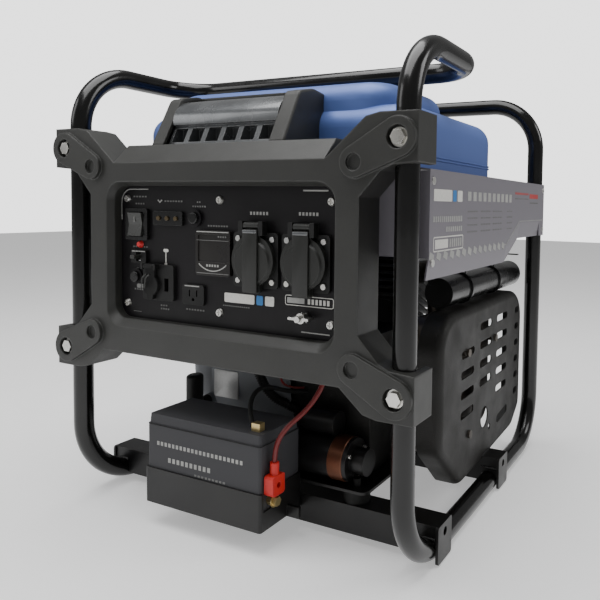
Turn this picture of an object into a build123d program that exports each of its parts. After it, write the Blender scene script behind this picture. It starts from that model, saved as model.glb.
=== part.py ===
"""Open-frame inverter generator: tube frame, control panel, engine, tank and battery, in mm.

X runs to the right as the operator faces the panel, Y runs back, Z is up.
The origin is on the floor, at the middle of the machine's overall box.
"""
from build123d import *
from math import cos, pi, radians, sin, sqrt, tan
import os

os.makedirs("parts", exist_ok=True)

# ---- driving dimensions: frame -------------------------------------------------------------
tube_d = 22.0            # frame tube, outside
tube_wall = 1.5
frame_w = 416.0          # between the tube axes, left to right
frame_d = 427.0          # between the tube axes, front to back
handle_z = 496.0         # axis of the carry handle and of the rear top tube
handle_setback = 170.0   # handle axis behind the front tube axis
bend_r = 65.0            # tube bends, on the axis
foot_bend_r = 78.0       # front bends at the floor
handle_bend_r = 50.0     # handle corners
splice_y = 70.0          # where the front and rear hoops are butt welded
sheet = 1.5              # steel sheet of channels, tray and guards
plastic = 3.0            # moulded wall

# ---- clearances -----------------------------------------------------------------------------
fit = 0.15               # round a part that sits on a tube or in a bore
gap = 0.3                # between curved neighbours
run = 0.05               # radial running clearance of a pin or shaft

# ---- channels, mounts and battery -------------------------------------------------------------
channel_w = 30.0
channel_h = 30.0
channel_top = 39.5       # over the floor
end_plate_t = 3.0
wheel_hole_d = 8.5       # holes for a bolt-on wheel or foot kit
mount_d = 28.0           # rubber mounts, between a channel and the cradle
mount_h = 12.0
mount_stud_d = 8.0
mount_x = (-20.0, 122.0)
cradle_t = 3.0
battery_w = 151.0        # 12 V, 7 Ah block
battery_d = 65.0
battery_h = 94.0
battery_x = -15.0        # middle of the battery
battery_z = 27.0         # its underside
tray_lip = 38.0          # height of the tray's walls
lead_d = 5.0             # battery leads

# ---- panel frame and control panel -------------------------------------------------------------
frame_proud = 22.5       # corner pads stand this far before the tube axis
face_proud = 18.0        # the panel frame's face does so by this much
frame_back = 20.0        # and its back lies this far behind the axis
body_half_w = 170.0
body_top = 388.0
body_bottom = 184.0
deck_rise = 20.0         # sloping deck on top of the panel frame
deck_half_w = 134.0
opening_w = 284.0        # window that shows the control panel
opening_h = 148.0
opening_z = 290.0        # middle of the window
opening_flare = 8.0      # the window is this much wider at the face
opening_chamfer = 8.0    # depth of the broad chamfer round the window
opening_lip = 4.0        # its lower edge stands this much higher behind the chamfer
seat_border = 7.0        # the panel plate reaches this far behind the frame's lip
panel_t = 2.0
bolt_mid_z = 293.5
bolt_rise = 111.5        # corner bolts above and below that
bolt_d = 8.0
socket_x = (47.0, 105.7)
socket_z = 292.0
socket_flange = 54.0
lid_d = 50.0
lid_t = 5.0
hinge_rise = 34.0        # lid hinge over the socket's centre
hinge_pin_d = 3.0

# ---- cowl and tank --------------------------------------------------------------------------------
cowl_x = (-100.0, 74.0)
cowl_post_w = 17.0
cowl_top = 466.0
cowl_wall = 4.0
tank_w = 370.0
tank_setback = 64.0      # tank front, behind the front tube axis
tank_len = 246.0
tank_z = 384.5           # tank underside, on the side panels' top flanges
tank_h = 66.0
dome_h = 25.0            # raised middle of the tank
tank_wall = 2.5
neck_d = 50.0
neck_h = 8.0
cap_d = 64.0
cap_h = 24.0
side_panel_t = 1.5
side_panel_bottom = 280.5
side_panel_hem = 20.0    # height of the hem that is bent in along the lower edge
side_panel_step = 27.0   # the back half's lower edge is this much higher
side_panel_knees = (252.0, 310.0)    # where the step begins and ends, behind the front tube axis

# ---- engine ----------------------------------------------------------------------------------------
crank_y = -34.0
crank_z = 141.0
block_x = (20.0, 120.0)
block_half_d = 75.0
block_top = 205.0
shaft_d = 25.0
cylinder_bore = 68.0
cylinder_lean = 25.0     # degrees back from the vertical
fin_w = 104.0
barrel_reach = (60.0, 135.0)   # from the crank axis
head_h = 30.0
rotor_d = 140.0
rotor_x = (-80.0, -20.0)
shroud_d = 170.0
shroud_x = -95.0         # its open face, where the recoil cover sits
recoil_d = 144.0
recoil_depth = 52.0
pulley_r = 40.0
pulley_t = 10.0
starter_d = 46.0
muffler_x = (150.0, 190.0)
shield_x = 200.0         # outer face of the heat shield
shield_depth = 28.0
canister_d = 36.0
canister_x = 176.0
canister_z = 251.0

# ---- places that follow -----------------------------------------------------------------------------
tube_r = tube_d / 2
bore_r = tube_r - tube_wall
side_x = frame_w / 2
rail_z = tube_r
front_y = -(frame_d + tube_r - frame_proud) / 2     # the overall box is centred on the origin
rear_y = front_y + frame_d
side_panel_x = side_x + tube_r + side_panel_t + 0.1   # outer face; the sheet lies on the rear tube
handle_y = front_y + handle_setback
face_y = front_y - face_proud
back_y = front_y + frame_back
panel_y = front_y - 1.0                             # front of the control panel plate
front_channel_y = front_y + 69.0
rear_channel_y = 50.0
cradle_z = channel_top + mount_h
engine_z = cradle_z + cradle_t
opening_bottom = opening_z - opening_h / 2
opening_top = opening_z + opening_h / 2
bolt_z = (bolt_mid_z - bolt_rise, bolt_mid_z + bolt_rise)
corners = [(sx, sz) for sx in (-1, 1) for sz in (-1, 1)]


def save(piece, name):
    """Label a finished piece and write it out."""
    piece.part.label = name
    export_step(piece.part, f"parts/{name}.step")


def facing(y):
    """The upright plane at y seen from the front: across is X, up is Z."""
    return Plane(origin=(0, y, 0), x_dir=(1, 0, 0), z_dir=(0, -1, 0))


def sideways(x):
    """The upright plane at x seen from the right: across is Y, up is Z."""
    return Plane(origin=(x, 0, 0), x_dir=(0, 1, 0), z_dir=(1, 0, 0))


def block(x0, x1, y0, y1, z0, z1, mode=Mode.ADD):
    """A box between two corners, in the open part."""
    with Locations(((x0 + x1) / 2, (y0 + y1) / 2, (z0 + z1) / 2)):
        Box(x1 - x0, y1 - y0, z1 - z0, mode=mode)


def rod(plane, centre, radius, length, mode=Mode.ADD):
    """A round bar that starts on a plane, in the open part."""
    with BuildSketch(plane) as end:
        with Locations(centre):
            Circle(radius)
    extrude(end.sketch, amount=length, mode=mode)


# ---- frame ------------------------------------------------------------------------------------------
def hoop(points, radii, drilled):
    """The hollow frame tube along straight runs and bends, drilled for the corner bolts or plain."""
    with BuildPart() as tube:
        with BuildLine() as path:
            FilletPolyline(*points, radius=radii)
        with BuildSketch(Plane(path.line @ 0, z_dir=path.line % 0)):
            Circle(tube_r)
            Circle(bore_r, mode=Mode.SUBTRACT)
        sweep(path=path.line)
        for side in (-1, 1) if drilled else ():
            for z in bolt_z:
                rod(facing(front_y), (side * side_x, z), bolt_d / 2 + fit, tube_d, Mode.SUBTRACT)
    return tube


front_hoop = hoop(
    [(-side_x, splice_y, rail_z), (-side_x, front_y, rail_z), (-side_x, front_y, handle_z),
     (-side_x, handle_y, handle_z), (side_x, handle_y, handle_z), (side_x, front_y, handle_z),
     (side_x, front_y, rail_z), (side_x, splice_y, rail_z)],
    [foot_bend_r, bend_r, handle_bend_r, handle_bend_r, bend_r, foot_bend_r], True)
save(front_hoop, "front_hoop")

rear_hoop = hoop(
    [(-side_x, splice_y, rail_z), (-side_x, rear_y, rail_z), (-side_x, rear_y, handle_z),
     (side_x, rear_y, handle_z), (side_x, rear_y, rail_z), (side_x, splice_y, rail_z)],
    [bend_r, bend_r, bend_r, bend_r], False)
save(rear_hoop, "rear_hoop")


def channel(y):
    """An inverted channel, notched over both rails, with a drilled plate on each end."""
    reach = side_x + tube_r
    in_bend = max(0, front_y + foot_bend_r - (y - channel_w / 2 - 2))
    lift = foot_bend_r - sqrt(foot_bend_r ** 2 - in_bend ** 2)
    with BuildPart() as bar:
        block(-reach, reach, y - channel_w / 2, y + channel_w / 2, channel_top - channel_h, channel_top)
        block(-reach, reach, y - channel_w / 2 + sheet, y + channel_w / 2 - sheet,
              channel_top - channel_h, channel_top - sheet, Mode.SUBTRACT)
        for side in (-1, 1):
            rod(facing(y + channel_w), (side * side_x, rail_z + lift), tube_r + fit, 2 * channel_w,
                Mode.SUBTRACT)
            block(side * side_x - tube_r - fit, side * side_x + tube_r + fit, y - channel_w,
                  y + channel_w, channel_top - channel_h - 1, rail_z + lift, Mode.SUBTRACT)
            with BuildSketch(sideways(side * reach)):
                with Locations((y, channel_top / 2 + 1)):
                    RectangleRounded(channel_w + 4, channel_top - 2, 3)
                with Locations((y, channel_top - 9.5)):
                    Circle(wheel_hole_d / 2, mode=Mode.SUBTRACT)
            extrude(amount=side * end_plate_t)
        with Locations(*[(x, y, channel_top) for x in mount_x]):
            Hole(mount_stud_d / 2 + fit, depth=2 * sheet)
    return bar


save(channel(front_channel_y), "front_channel")
save(channel(rear_channel_y), "rear_channel")

mount_places = [(x, y) for x in mount_x for y in (front_channel_y, rear_channel_y)]

with BuildPart() as rubber_mounts:
    for place in mount_places:
        rod(Plane.XY.offset(channel_top), place, mount_d / 2, mount_h)
        rod(Plane.XY.offset(channel_top - 10), place, mount_stud_d / 2, mount_h + cradle_t + 18)
save(rubber_mounts, "rubber_mounts")

with BuildPart() as engine_cradle:
    cradle_mid = (sum(mount_x) / 2, (front_channel_y + rear_channel_y) / 2)
    with BuildSketch(Plane.XY.offset(cradle_z)):
        with Locations(cradle_mid):
            RectangleRounded(mount_x[1] - mount_x[0] + 36, rear_channel_y - front_channel_y + mount_d, 8)
            Rectangle(56, 90, mode=Mode.SUBTRACT)
        with Locations(*mount_places):
            Circle(mount_stud_d / 2 + fit, mode=Mode.SUBTRACT)
    extrude(amount=cradle_t)
save(engine_cradle, "engine_cradle")

# ---- battery, hung before the front channel ------------------------------------------------------------
battery_back = front_channel_y - channel_w / 2 - sheet - gap
battery_front = battery_back - battery_d
battery_mid = (battery_x, (battery_front + battery_back) / 2)
battery_right = battery_x + battery_w / 2
battery_top = battery_z + battery_h
lug_y = battery_front + 14
lug_z = battery_z + 27
ground_lug_x = battery_right - 14

with BuildPart() as battery:
    with BuildSketch(Plane.XY.offset(battery_z)):
        with Locations(battery_mid):
            RectangleRounded(battery_w, battery_d, 3)
    extrude(amount=battery_h - 10)
    with BuildSketch(Plane.XY.offset(battery_top - 10)):
        with Locations(battery_mid):
            RectangleRounded(battery_w - 2, battery_d - 2, 3)
    extrude(amount=10, taper=6)
save(battery, "battery")

with BuildPart() as battery_tray:
    with BuildSketch(Plane.XY.offset(battery_z - sheet)):
        with Locations(battery_mid):
            RectangleRounded(battery_w + 2 * (gap + sheet), battery_d + 2 * (gap + sheet), 3)
    extrude(amount=tray_lip)
    with BuildSketch(Plane.XY.offset(battery_z)):
        with Locations(battery_mid):
            RectangleRounded(battery_w + 2 * gap, battery_d + 2 * gap, 3)
    extrude(amount=tray_lip, mode=Mode.SUBTRACT)
    block(battery_right + gap, battery_right + gap + 16, battery_back - 24, battery_back - 20,
          battery_z - sheet, battery_z + 10)
    block(battery_right, battery_right + 6, lug_y - 11, lug_y + 11, lug_z - 9, battery_z + tray_lip,
          Mode.SUBTRACT)
save(battery_tray, "battery_tray")

with BuildPart() as battery_lugs:
    with BuildSketch(sideways(battery_right)):
        with Locations((lug_y, lug_z)):
            RegularPolygon(5, 6)
    extrude(amount=6)
    with BuildSketch(sideways(battery_right + 6)):
        with Locations((lug_y, lug_z)):
            Circle(6.5)
    extrude(amount=1.2)
    with BuildSketch(sideways(battery_right + 7.2)):
        with Locations((lug_y, lug_z)):
            RegularPolygon(5, 6)
    extrude(amount=4)
    block(ground_lug_x - 5, ground_lug_x + 5, lug_y - 4, lug_y + 4, battery_top, battery_top + 8)
save(battery_lugs, "battery_lugs")

with BuildPart() as positive_boot:
    with BuildSketch(sideways(battery_right + 1)):
        with Locations((lug_y, lug_z + 17)):
            RectangleRounded(19, 20, 3)
        with Locations((lug_y, lug_z + 17)):
            Circle(3, mode=Mode.SUBTRACT)
    extrude(amount=11)
    rod(Plane.XY.offset(lug_z + 27), (battery_right + 6.5, lug_y), 4.5, 12)
save(positive_boot, "positive_boot")

positive_start = (battery_right + 6.5, lug_y, lug_z + 39.2)
positive_route = [positive_start, (67.0, -206.0, 108.0), (75.0, -201.0, 126.0),
                  (91.0, -186.0, 143.0), (101.0, -176.0, 163.0), (104.0, -166.0, 186.0),
                  (104.0, -160.0, 204.0)]
negative_route = [(ground_lug_x - 6.8, lug_y, battery_top + 4), (31.0, -200.0, 131.0),
                  (20.0, -186.0, 142.0), (14.0, -168.0, 148.0), (15.0, -150.0, 147.0),
                  (24.0, -134.0, 140.0), (33.0, -122.0, 136.0), (40.0, crank_y - block_half_d - 1.4, 134.0)]


def lead(route):
    """A battery lead along its route: straight runs joined by arcs as large as they allow."""
    spots = [Vector(*p) for p in route]
    radii = []
    for before, here, after in zip(spots, spots[1:], spots[2:]):
        turn = (here - before).get_angle(after - here)
        shorter = min((here - before).length, (after - here).length)
        radii.append(0.45 * shorter / tan(radians(turn / 2)))
    print("lead bend radii", [round(r, 1) for r in radii])
    with BuildPart() as cord:
        with BuildLine() as path:
            FilletPolyline(*route, radius=radii)
        with BuildSketch(Plane(path.line @ 0, z_dir=path.line % 0)):
            Circle(lead_d / 2)
        sweep(path=path.line)
    full = pi * (lead_d / 2) ** 2 * path.wires()[0].length
    print("lead volume over its section times its length", round(cord.part.volume / full, 4))
    return cord


save(lead(positive_route), "positive_lead")
save(lead(negative_route), "negative_lead")

# ---- panel frame ------------------------------------------------------------------------------------------
ear_outline = [(-74, -17), (-32, 19), (-18, 22), (18, 22), (18, -21), (-6, -23), (-17, -28), (-43, -56)]
dimple_offset = (-42.0, -20.5)

with BuildPart() as panel_frame:
    with BuildSketch(facing(back_y)):
        with Locations((0, (body_top + body_bottom) / 2)):
            RectangleRounded(2 * body_half_w, body_top - body_bottom, 6)
        for side, up in corners:
            with BuildLine():
                Polyline(*[(side * (side_x + dx), bolt_mid_z + up * (bolt_rise + dz))
                           for dx, dz in ear_outline], close=True)
            make_face()
    extrude(amount=back_y - face_y)
    with BuildSketch(Plane.YZ.offset(-deck_half_w)):
        with BuildLine():
            Polyline((face_y, body_top), (face_y + deck_rise, body_top + deck_rise),
                     (back_y, body_top + deck_rise), (back_y, body_top), close=True)
        make_face()
    extrude(amount=2 * deck_half_w)
    for side, up in corners:
        with BuildSketch(facing(face_y)):
            with BuildSketch(mode=Mode.PRIVATE) as pad:
                with Locations((side * side_x, bolt_mid_z + up * bolt_rise)):
                    Circle(17.5)
                with Locations((side * (side_x + dimple_offset[0]),
                                bolt_mid_z + up * (bolt_rise + dimple_offset[1]))):
                    Circle(14)
            add(make_hull(pad.sketch.edges(), mode=Mode.PRIVATE))
        extrude(amount=frame_proud - face_proud)
    # window: broad chamfer at the face, straight reveal behind it, square seat for the plate
    chamfer_end = face_y + opening_chamfer
    with BuildSketch(facing(panel_y)):
        with Locations((0, opening_z + opening_lip / 2)):
            RectangleRounded(opening_w, opening_h - opening_lip, 16)
    extrude(amount=panel_y - chamfer_end, mode=Mode.SUBTRACT)
    with BuildSketch(facing(chamfer_end)):
        with Locations((0, opening_z + opening_lip / 2)):
            RectangleRounded(opening_w, opening_h - opening_lip, 16)
    with BuildSketch(facing(face_y)):
        with Locations((0, opening_z)):
            RectangleRounded(opening_w + opening_flare, opening_h + opening_flare, 20)
    loft(mode=Mode.SUBTRACT)
    with BuildSketch(facing(back_y)):
        with Locations((0, opening_z)):
            RectangleRounded(opening_w + 2 * seat_border, opening_h + 2 * seat_border, 6)
    extrude(amount=back_y - panel_y, mode=Mode.SUBTRACT)
    for side, up in corners:
        bolt_at = (side * side_x, bolt_mid_z + up * bolt_rise)
        dimple_at = (side * (side_x + dimple_offset[0]),
                     bolt_mid_z + up * (bolt_rise + dimple_offset[1]))
        rod(facing(front_y), bolt_at, bolt_d / 2 + fit, tube_d, Mode.SUBTRACT)
        rod(facing(front_y - tube_r - 5), bolt_at, 10, tube_d, Mode.SUBTRACT)
        rod(facing(face_y - 1), dimple_at, 7.5, 10, Mode.SUBTRACT)
        rod(Plane.XY, (side * side_x, front_y), tube_r + fit, 2 * handle_z, Mode.SUBTRACT)
        block(side * side_x - tube_r - fit, side * side_x + tube_r + fit, front_y, back_y + 1,
              0, handle_z, Mode.SUBTRACT)
save(panel_frame, "panel_frame")

with BuildPart() as corner_bolts:
    head_y = front_y - tube_r - 5
    for side, up in corners:
        bolt_at = (side * side_x, bolt_mid_z + up * bolt_rise)
        rod(facing(front_y), bolt_at, bolt_d / 2, front_y - head_y)
        rod(facing(head_y), bolt_at, 8.5, 1.2)
        with BuildSketch(facing(head_y - 1.2)):
            with Locations(bolt_at):
                RegularPolygon(7, 6)
        extrude(amount=4.5)
save(corner_bolts, "corner_bolts")

# ---- control panel ----------------------------------------------------------------------------------------
seat_w = opening_w + 2 * seat_border
seat_h = opening_h + 2 * seat_border
screw_places = [(x, z) for x in (-132.0, -1.0, 132.0) for z in (235.5, 350.0)]
switch_at = (-115.5, 322.5)
switch_size = (33.0, 34.0)
rocker_size = (20.0, 25.0)
lamp_at = (-112.5, 300.8)
breaker_at = (-112.5, 287.6)
breaker_size = (22.0, 14.0)
dc_reset_at = (-117.5, 265.4)
reset_at = (-33.0, 331.0)
reset_d = 12.0
indicator_at = (-70.5, 329.8)
meter_at = (-6.5, 296.0)
meter_size = (45.0, 46.0)
dc_at = (-83.0, 261.2)
dc_size = (44.0, 38.0)
small_socket_at = (-34.5, 251.5)
stud_at = (104.5, 240.6)
stud_d = 6.0

with BuildPart() as control_panel:
    with BuildSketch(facing(panel_y)):
        with Locations((0, opening_z)):
            RectangleRounded(seat_w - 2 * gap, seat_h - 2 * gap, 6)
        with Locations(*screw_places):
            Circle(2.0 + fit, mode=Mode.SUBTRACT)
        with Locations(*[(x, socket_z) for x in socket_x]):
            Circle(22.0 + gap, mode=Mode.SUBTRACT)
        with Locations(switch_at):
            Rectangle(switch_size[0] - 5, switch_size[1] - 5, mode=Mode.SUBTRACT)
        with Locations(breaker_at):
            Rectangle(breaker_size[0] - 4, breaker_size[1] - 4, mode=Mode.SUBTRACT)
        with Locations(meter_at):
            Rectangle(meter_size[0] - 6, meter_size[1] - 6, mode=Mode.SUBTRACT)
        with Locations(indicator_at):
            Rectangle(36, 10, mode=Mode.SUBTRACT)
        with Locations(dc_at):
            Rectangle(dc_size[0] - 6, dc_size[1] - 6, mode=Mode.SUBTRACT)
        with Locations(small_socket_at):
            Rectangle(22, 14, mode=Mode.SUBTRACT)
        with Locations(lamp_at):
            Circle(3.0 + fit, mode=Mode.SUBTRACT)
        with Locations(reset_at, dc_reset_at):
            Circle(reset_d / 2 + run, mode=Mode.SUBTRACT)
        with Locations(stud_at):
            Circle(stud_d / 2 + fit, mode=Mode.SUBTRACT)
    extrude(amount=-panel_t)
    for place in (reset_at, dc_reset_at):
        with BuildSketch(facing(panel_y)):
            with Locations(place):
                Circle(reset_d / 2 + 3)
                Circle(reset_d / 2 + run, mode=Mode.SUBTRACT)
        extrude(amount=3)
save(control_panel, "control_panel")

with BuildPart() as panel_screws:
    for place in screw_places:
        rod(facing(panel_y + 8), place, 2.0, 8)
        with BuildSketch(facing(panel_y)):
            with Locations(place):
                Circle(4.5)
        extrude(amount=2.4, taper=25)
        with BuildSketch(facing(panel_y - 2.4)):
            with Locations(place):
                Rectangle(5, 1)
                Rectangle(1, 5)
        extrude(amount=-1.2, mode=Mode.SUBTRACT)
save(panel_screws, "panel_screws")

socket_face = panel_y - 4.0
hinge_y = socket_face - 4.5
hinge_z = socket_z + hinge_rise
socket_screw_places = [(sx * 21.5, sz * 21.5) for sx, sz in corners]


def socket(x):
    """A flush power socket: flange, round recess with two pin holes, and hinge ears."""
    with BuildPart() as body:
        with BuildSketch(facing(panel_y)):
            with Locations((x, socket_z)):
                RectangleRounded(socket_flange, socket_flange, 4)
        extrude(amount=4)
        rod(facing(panel_y), (x, socket_z), 22.0, -26)
        rod(facing(socket_face), (x, socket_z), 19.5, -17, Mode.SUBTRACT)
        for dx in (-9.5, 9.5):
            rod(facing(socket_face + 17), (x + dx, socket_z), 2.4, -8, Mode.SUBTRACT)
        for dx in (-12.0, 12.0):
            block(x + dx - 2.5, x + dx + 2.5, socket_face - 8, socket_face, hinge_z - 9.5, hinge_z + 4)
        rod(sideways(x - 12), (hinge_y, hinge_z), hinge_pin_d / 2, 24)
        for dx, dz in socket_screw_places:
            rod(facing(socket_face), (x + dx, socket_z + dz), 1.6 + fit, -4, Mode.SUBTRACT)
    return body


def socket_lid(x):
    """The round lid that hangs before a socket from its hinge, with a finger tab below."""
    with BuildPart() as lid:
        with BuildSketch(facing(socket_face - gap)):
            with Locations((x, socket_z)):
                Circle(lid_d / 2)
            with Locations((x, socket_z + hinge_rise / 2)):
                Rectangle(18, hinge_rise)
            with Locations((x, socket_z - lid_d / 2 - 1)):
                RectangleRounded(18, 12, 3)
        extrude(amount=lid_t)
        rod(sideways(x - 9), (hinge_y, hinge_z), 3.4, 18)
        with BuildSketch(facing(socket_face - gap - lid_t)):
            with Locations((x, socket_z - 2)):
                Circle(lid_d / 2 - 3)
        extrude(amount=2.0, taper=40)
        rod(sideways(x - 10), (hinge_y, hinge_z), hinge_pin_d / 2 + run, 20, Mode.SUBTRACT)
    return lid


for side_name, x in zip(("left", "right"), socket_x):
    save(socket(x), f"socket_{side_name}")
    save(socket_lid(x), f"lid_{side_name}")

with BuildPart() as socket_screws:
    for x in socket_x:
        for dx, dz in socket_screw_places:
            rod(facing(socket_face + 4), (x + dx, socket_z + dz), 1.6, 4)
            rod(facing(socket_face), (x + dx, socket_z + dz), 3.2, 1.6)
save(socket_screws, "socket_screws")

with BuildPart() as small_socket:
    with BuildSketch(facing(panel_y)):
        with Locations(small_socket_at):
            RectangleRounded(29, 21, 3)
    extrude(amount=3)
    with BuildSketch(facing(panel_y)):
        with Locations(small_socket_at):
            Rectangle(21.4, 13.4)
    extrude(amount=-18)
    with BuildSketch(facing(panel_y - 3)):
        with Locations((small_socket_at[0] - 5, small_socket_at[1] + 1.5),
                       (small_socket_at[0] + 5, small_socket_at[1] + 1.5)):
            Rectangle(1.8, 7)
        with Locations((small_socket_at[0], small_socket_at[1] - 5)):
            Circle(1.9)
    extrude(amount=-14, mode=Mode.SUBTRACT)
save(small_socket, "small_socket")

dc_face = panel_y - 4.0
dc_hinge_z = dc_at[1] + dc_size[1] / 2 - 2
dc_hinge_y = dc_face - 4.0
dc_cap_x = dc_at[0] - 8.0

with BuildPart() as dc_outlet:
    with BuildSketch(facing(panel_y)):
        with Locations(dc_at):
            RectangleRounded(dc_size[0], dc_size[1], 3)
    extrude(amount=4)
    with BuildSketch(facing(panel_y)):
        with Locations(dc_at):
            Rectangle(dc_size[0] - 7, dc_size[1] - 7)
    extrude(amount=-20)
    rod(facing(dc_face), (dc_cap_x, dc_at[1] - 3), 9.0, -20, Mode.SUBTRACT)
    with BuildSketch(facing(dc_face)):
        with Locations((dc_at[0] + 12, dc_at[1] - 2)):
            Rectangle(6, 14)
    extrude(amount=-10, mode=Mode.SUBTRACT)
    for dx in (-9.0, 9.0):
        block(dc_cap_x + dx - 1.5, dc_cap_x + dx + 1.5, dc_face - 7, dc_face,
              dc_hinge_z - 3, dc_hinge_z + 3)
    rod(sideways(dc_cap_x - 9), (dc_hinge_y, dc_hinge_z), 1.25, 18)
save(dc_outlet, "dc_outlet")

with BuildPart() as dc_cap:
    with BuildSketch(facing(dc_face - gap)):
        with Locations((dc_cap_x, dc_at[1] - 3)):
            Circle(11)
        with Locations((dc_cap_x, dc_at[1] + 7)):
            Rectangle(13, 2 * (dc_hinge_z - dc_at[1] - 7))
        with Locations((dc_cap_x, dc_at[1] - 15)):
            RectangleRounded(9, 6, 2)
    extrude(amount=3.5)
    rod(sideways(dc_cap_x - 6.5), (dc_hinge_y, dc_hinge_z), 3.0, 13)
    rod(sideways(dc_cap_x - 8), (dc_hinge_y, dc_hinge_z), 1.25 + run, 16, Mode.SUBTRACT)
save(dc_cap, "dc_cap")

with BuildPart() as switch_housing:
    with BuildSketch(facing(panel_y)):
        with Locations(switch_at):
            RectangleRounded(switch_size[0], switch_size[1], 2)
    extrude(amount=4)
    with BuildSketch(facing(panel_y)):
        with Locations(switch_at):
            Rectangle(switch_size[0] - 6, switch_size[1] - 6)
    extrude(amount=-18)
    with BuildSketch(facing(panel_y - 4)):
        with Locations(switch_at):
            Rectangle(rocker_size[0] + 1.2, rocker_size[1] + 1.6)
    extrude(amount=-13, mode=Mode.SUBTRACT)
    rod(sideways(switch_at[0] - rocker_size[0] / 2 - 1.6), (panel_y, switch_at[1]), 1.5,
        rocker_size[0] + 3.2)
save(switch_housing, "switch_housing")

with BuildPart() as start_rocker:
    rocker_left = switch_at[0] - rocker_size[0] / 2
    with BuildSketch(sideways(rocker_left)):
        with BuildLine():
            half = rocker_size[1] / 2
            Polyline((panel_y + 4, switch_at[1] - half + 3), (panel_y - 7, switch_at[1] - half),
                     (panel_y - 4.6, switch_at[1]), (panel_y - 7, switch_at[1] + half),
                     (panel_y + 4, switch_at[1] + half - 3), close=True)
        make_face()
        with Locations((panel_y, switch_at[1])):
            Circle(1.5 + run, mode=Mode.SUBTRACT)
    extrude(amount=rocker_size[0])
save(start_rocker, "start_rocker")

with BuildPart() as pilot_lamp:
    rod(facing(panel_y + 12), lamp_at, 3.0, 12)
    with BuildSketch(facing(panel_y)):
        with Locations(lamp_at):
            Circle(4.2)
    extrude(amount=3.5, taper=25)
save(pilot_lamp, "pilot_lamp")

lever_pivot = (panel_y - 1.0, breaker_at[1])

with BuildPart() as breaker_body:
    with BuildSketch(facing(panel_y)):
        with Locations(breaker_at):
            RectangleRounded(breaker_size[0], breaker_size[1], 1.5)
    extrude(amount=3.5)
    with BuildSketch(facing(panel_y)):
        with Locations(breaker_at):
            Rectangle(breaker_size[0] - 5, breaker_size[1] - 5)
    extrude(amount=-22)
    with BuildSketch(facing(panel_y - 3.5)):
        with Locations(breaker_at):
            Rectangle(7, 11)
    extrude(amount=-9, mode=Mode.SUBTRACT)
    rod(sideways(breaker_at[0] - 4.5), lever_pivot, 1.2, 9)
save(breaker_body, "breaker_body")

with BuildPart() as breaker_toggle:
    with BuildSketch(sideways(breaker_at[0] - 3)):
        with Locations(lever_pivot):
            Circle(2.8)
        with Locations((lever_pivot[0] - 5.5, lever_pivot[1])):
            Rectangle(11, 3.6)
        with Locations(lever_pivot):
            Circle(1.2 + run, mode=Mode.SUBTRACT)
    extrude(amount=6)
save(breaker_toggle, "breaker_toggle")


def push_button(place):
    """A round push button in its collar, with the stem of its breaker behind the panel."""
    with BuildPart() as button:
        rod(facing(panel_y + 8), place, reset_d / 2, 14)
        fillet(button.edges().filter_by(GeomType.CIRCLE).sort_by(Axis.Y)[0], 1.2)
    return button


save(push_button(reset_at), "reset_button")
save(push_button(dc_reset_at), "dc_reset_button")

led_pitch = 12.2

with BuildPart() as indicator_block:
    with BuildSketch(facing(panel_y)):
        with Locations(indicator_at):
            RectangleRounded(42, 15, 2)
    extrude(amount=3)
    with BuildSketch(facing(panel_y)):
        with Locations(indicator_at):
            Rectangle(35, 9)
    extrude(amount=-12)
    for step in (-1, 0, 1):
        rod(facing(panel_y - 3), (indicator_at[0] + step * led_pitch, indicator_at[1]), 2.5 + fit,
            -8, Mode.SUBTRACT)
save(indicator_block, "indicator_block")

with BuildPart() as indicator_leds:
    for step in (-1, 0, 1):
        with BuildSketch(facing(panel_y + 5)):
            with Locations((indicator_at[0] + step * led_pitch, indicator_at[1])):
                Circle(2.5)
        extrude(amount=9.5)
save(indicator_leds, "indicator_leds")

with BuildPart() as voltmeter:
    with BuildSketch(facing(panel_y)):
        with Locations(meter_at):
            RectangleRounded(meter_size[0], meter_size[1], 3)
    extrude(amount=5)
    with BuildSketch(facing(panel_y)):
        with Locations(meter_at):
            Rectangle(meter_size[0] - 7, meter_size[1] - 7)
    extrude(amount=-24)
    with BuildSketch(facing(panel_y - 5)):
        with Locations((meter_at[0], meter_at[1] + 5)):
            RectangleRounded(meter_size[0] - 6, meter_size[1] - 18, 2)
    extrude(amount=-1.2, mode=Mode.SUBTRACT)
save(voltmeter, "voltmeter")

with BuildPart() as ground_stud:
    rod(facing(panel_y + 10), stud_at, stud_d / 2, 26)
    with BuildSketch(facing(panel_y)):
        with Locations(stud_at):
            RegularPolygon(5.5, 6)
    extrude(amount=4)
save(ground_stud, "ground_stud")

with BuildPart() as wing_nut:
    rod(facing(panel_y - 4 - gap), stud_at, 5, 6)
    for side in (-1, 1):
        with BuildSketch(Plane(origin=(0, panel_y - 5, 0), x_dir=(1, 0, 0), z_dir=(0, -1, 0))):
            with Locations((stud_at[0] + side * 7.5, stud_at[1])):
                RectangleRounded(8, 2.4, 1)
        extrude(amount=9)
    rod(facing(panel_y), stud_at, stud_d / 2 + run, 20, Mode.SUBTRACT)
save(wing_nut, "wing_nut")

# ---- fuel tank, which the cowl behind the panel is cut to clear -----------------------------------------
tank_y = front_y + tank_setback
tank_top = tank_z + tank_h
dome_y = (tank_y + 8.0, tank_y + 168.0)
cap_at = (60.0, tank_y + tank_len - 40.0)


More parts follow.
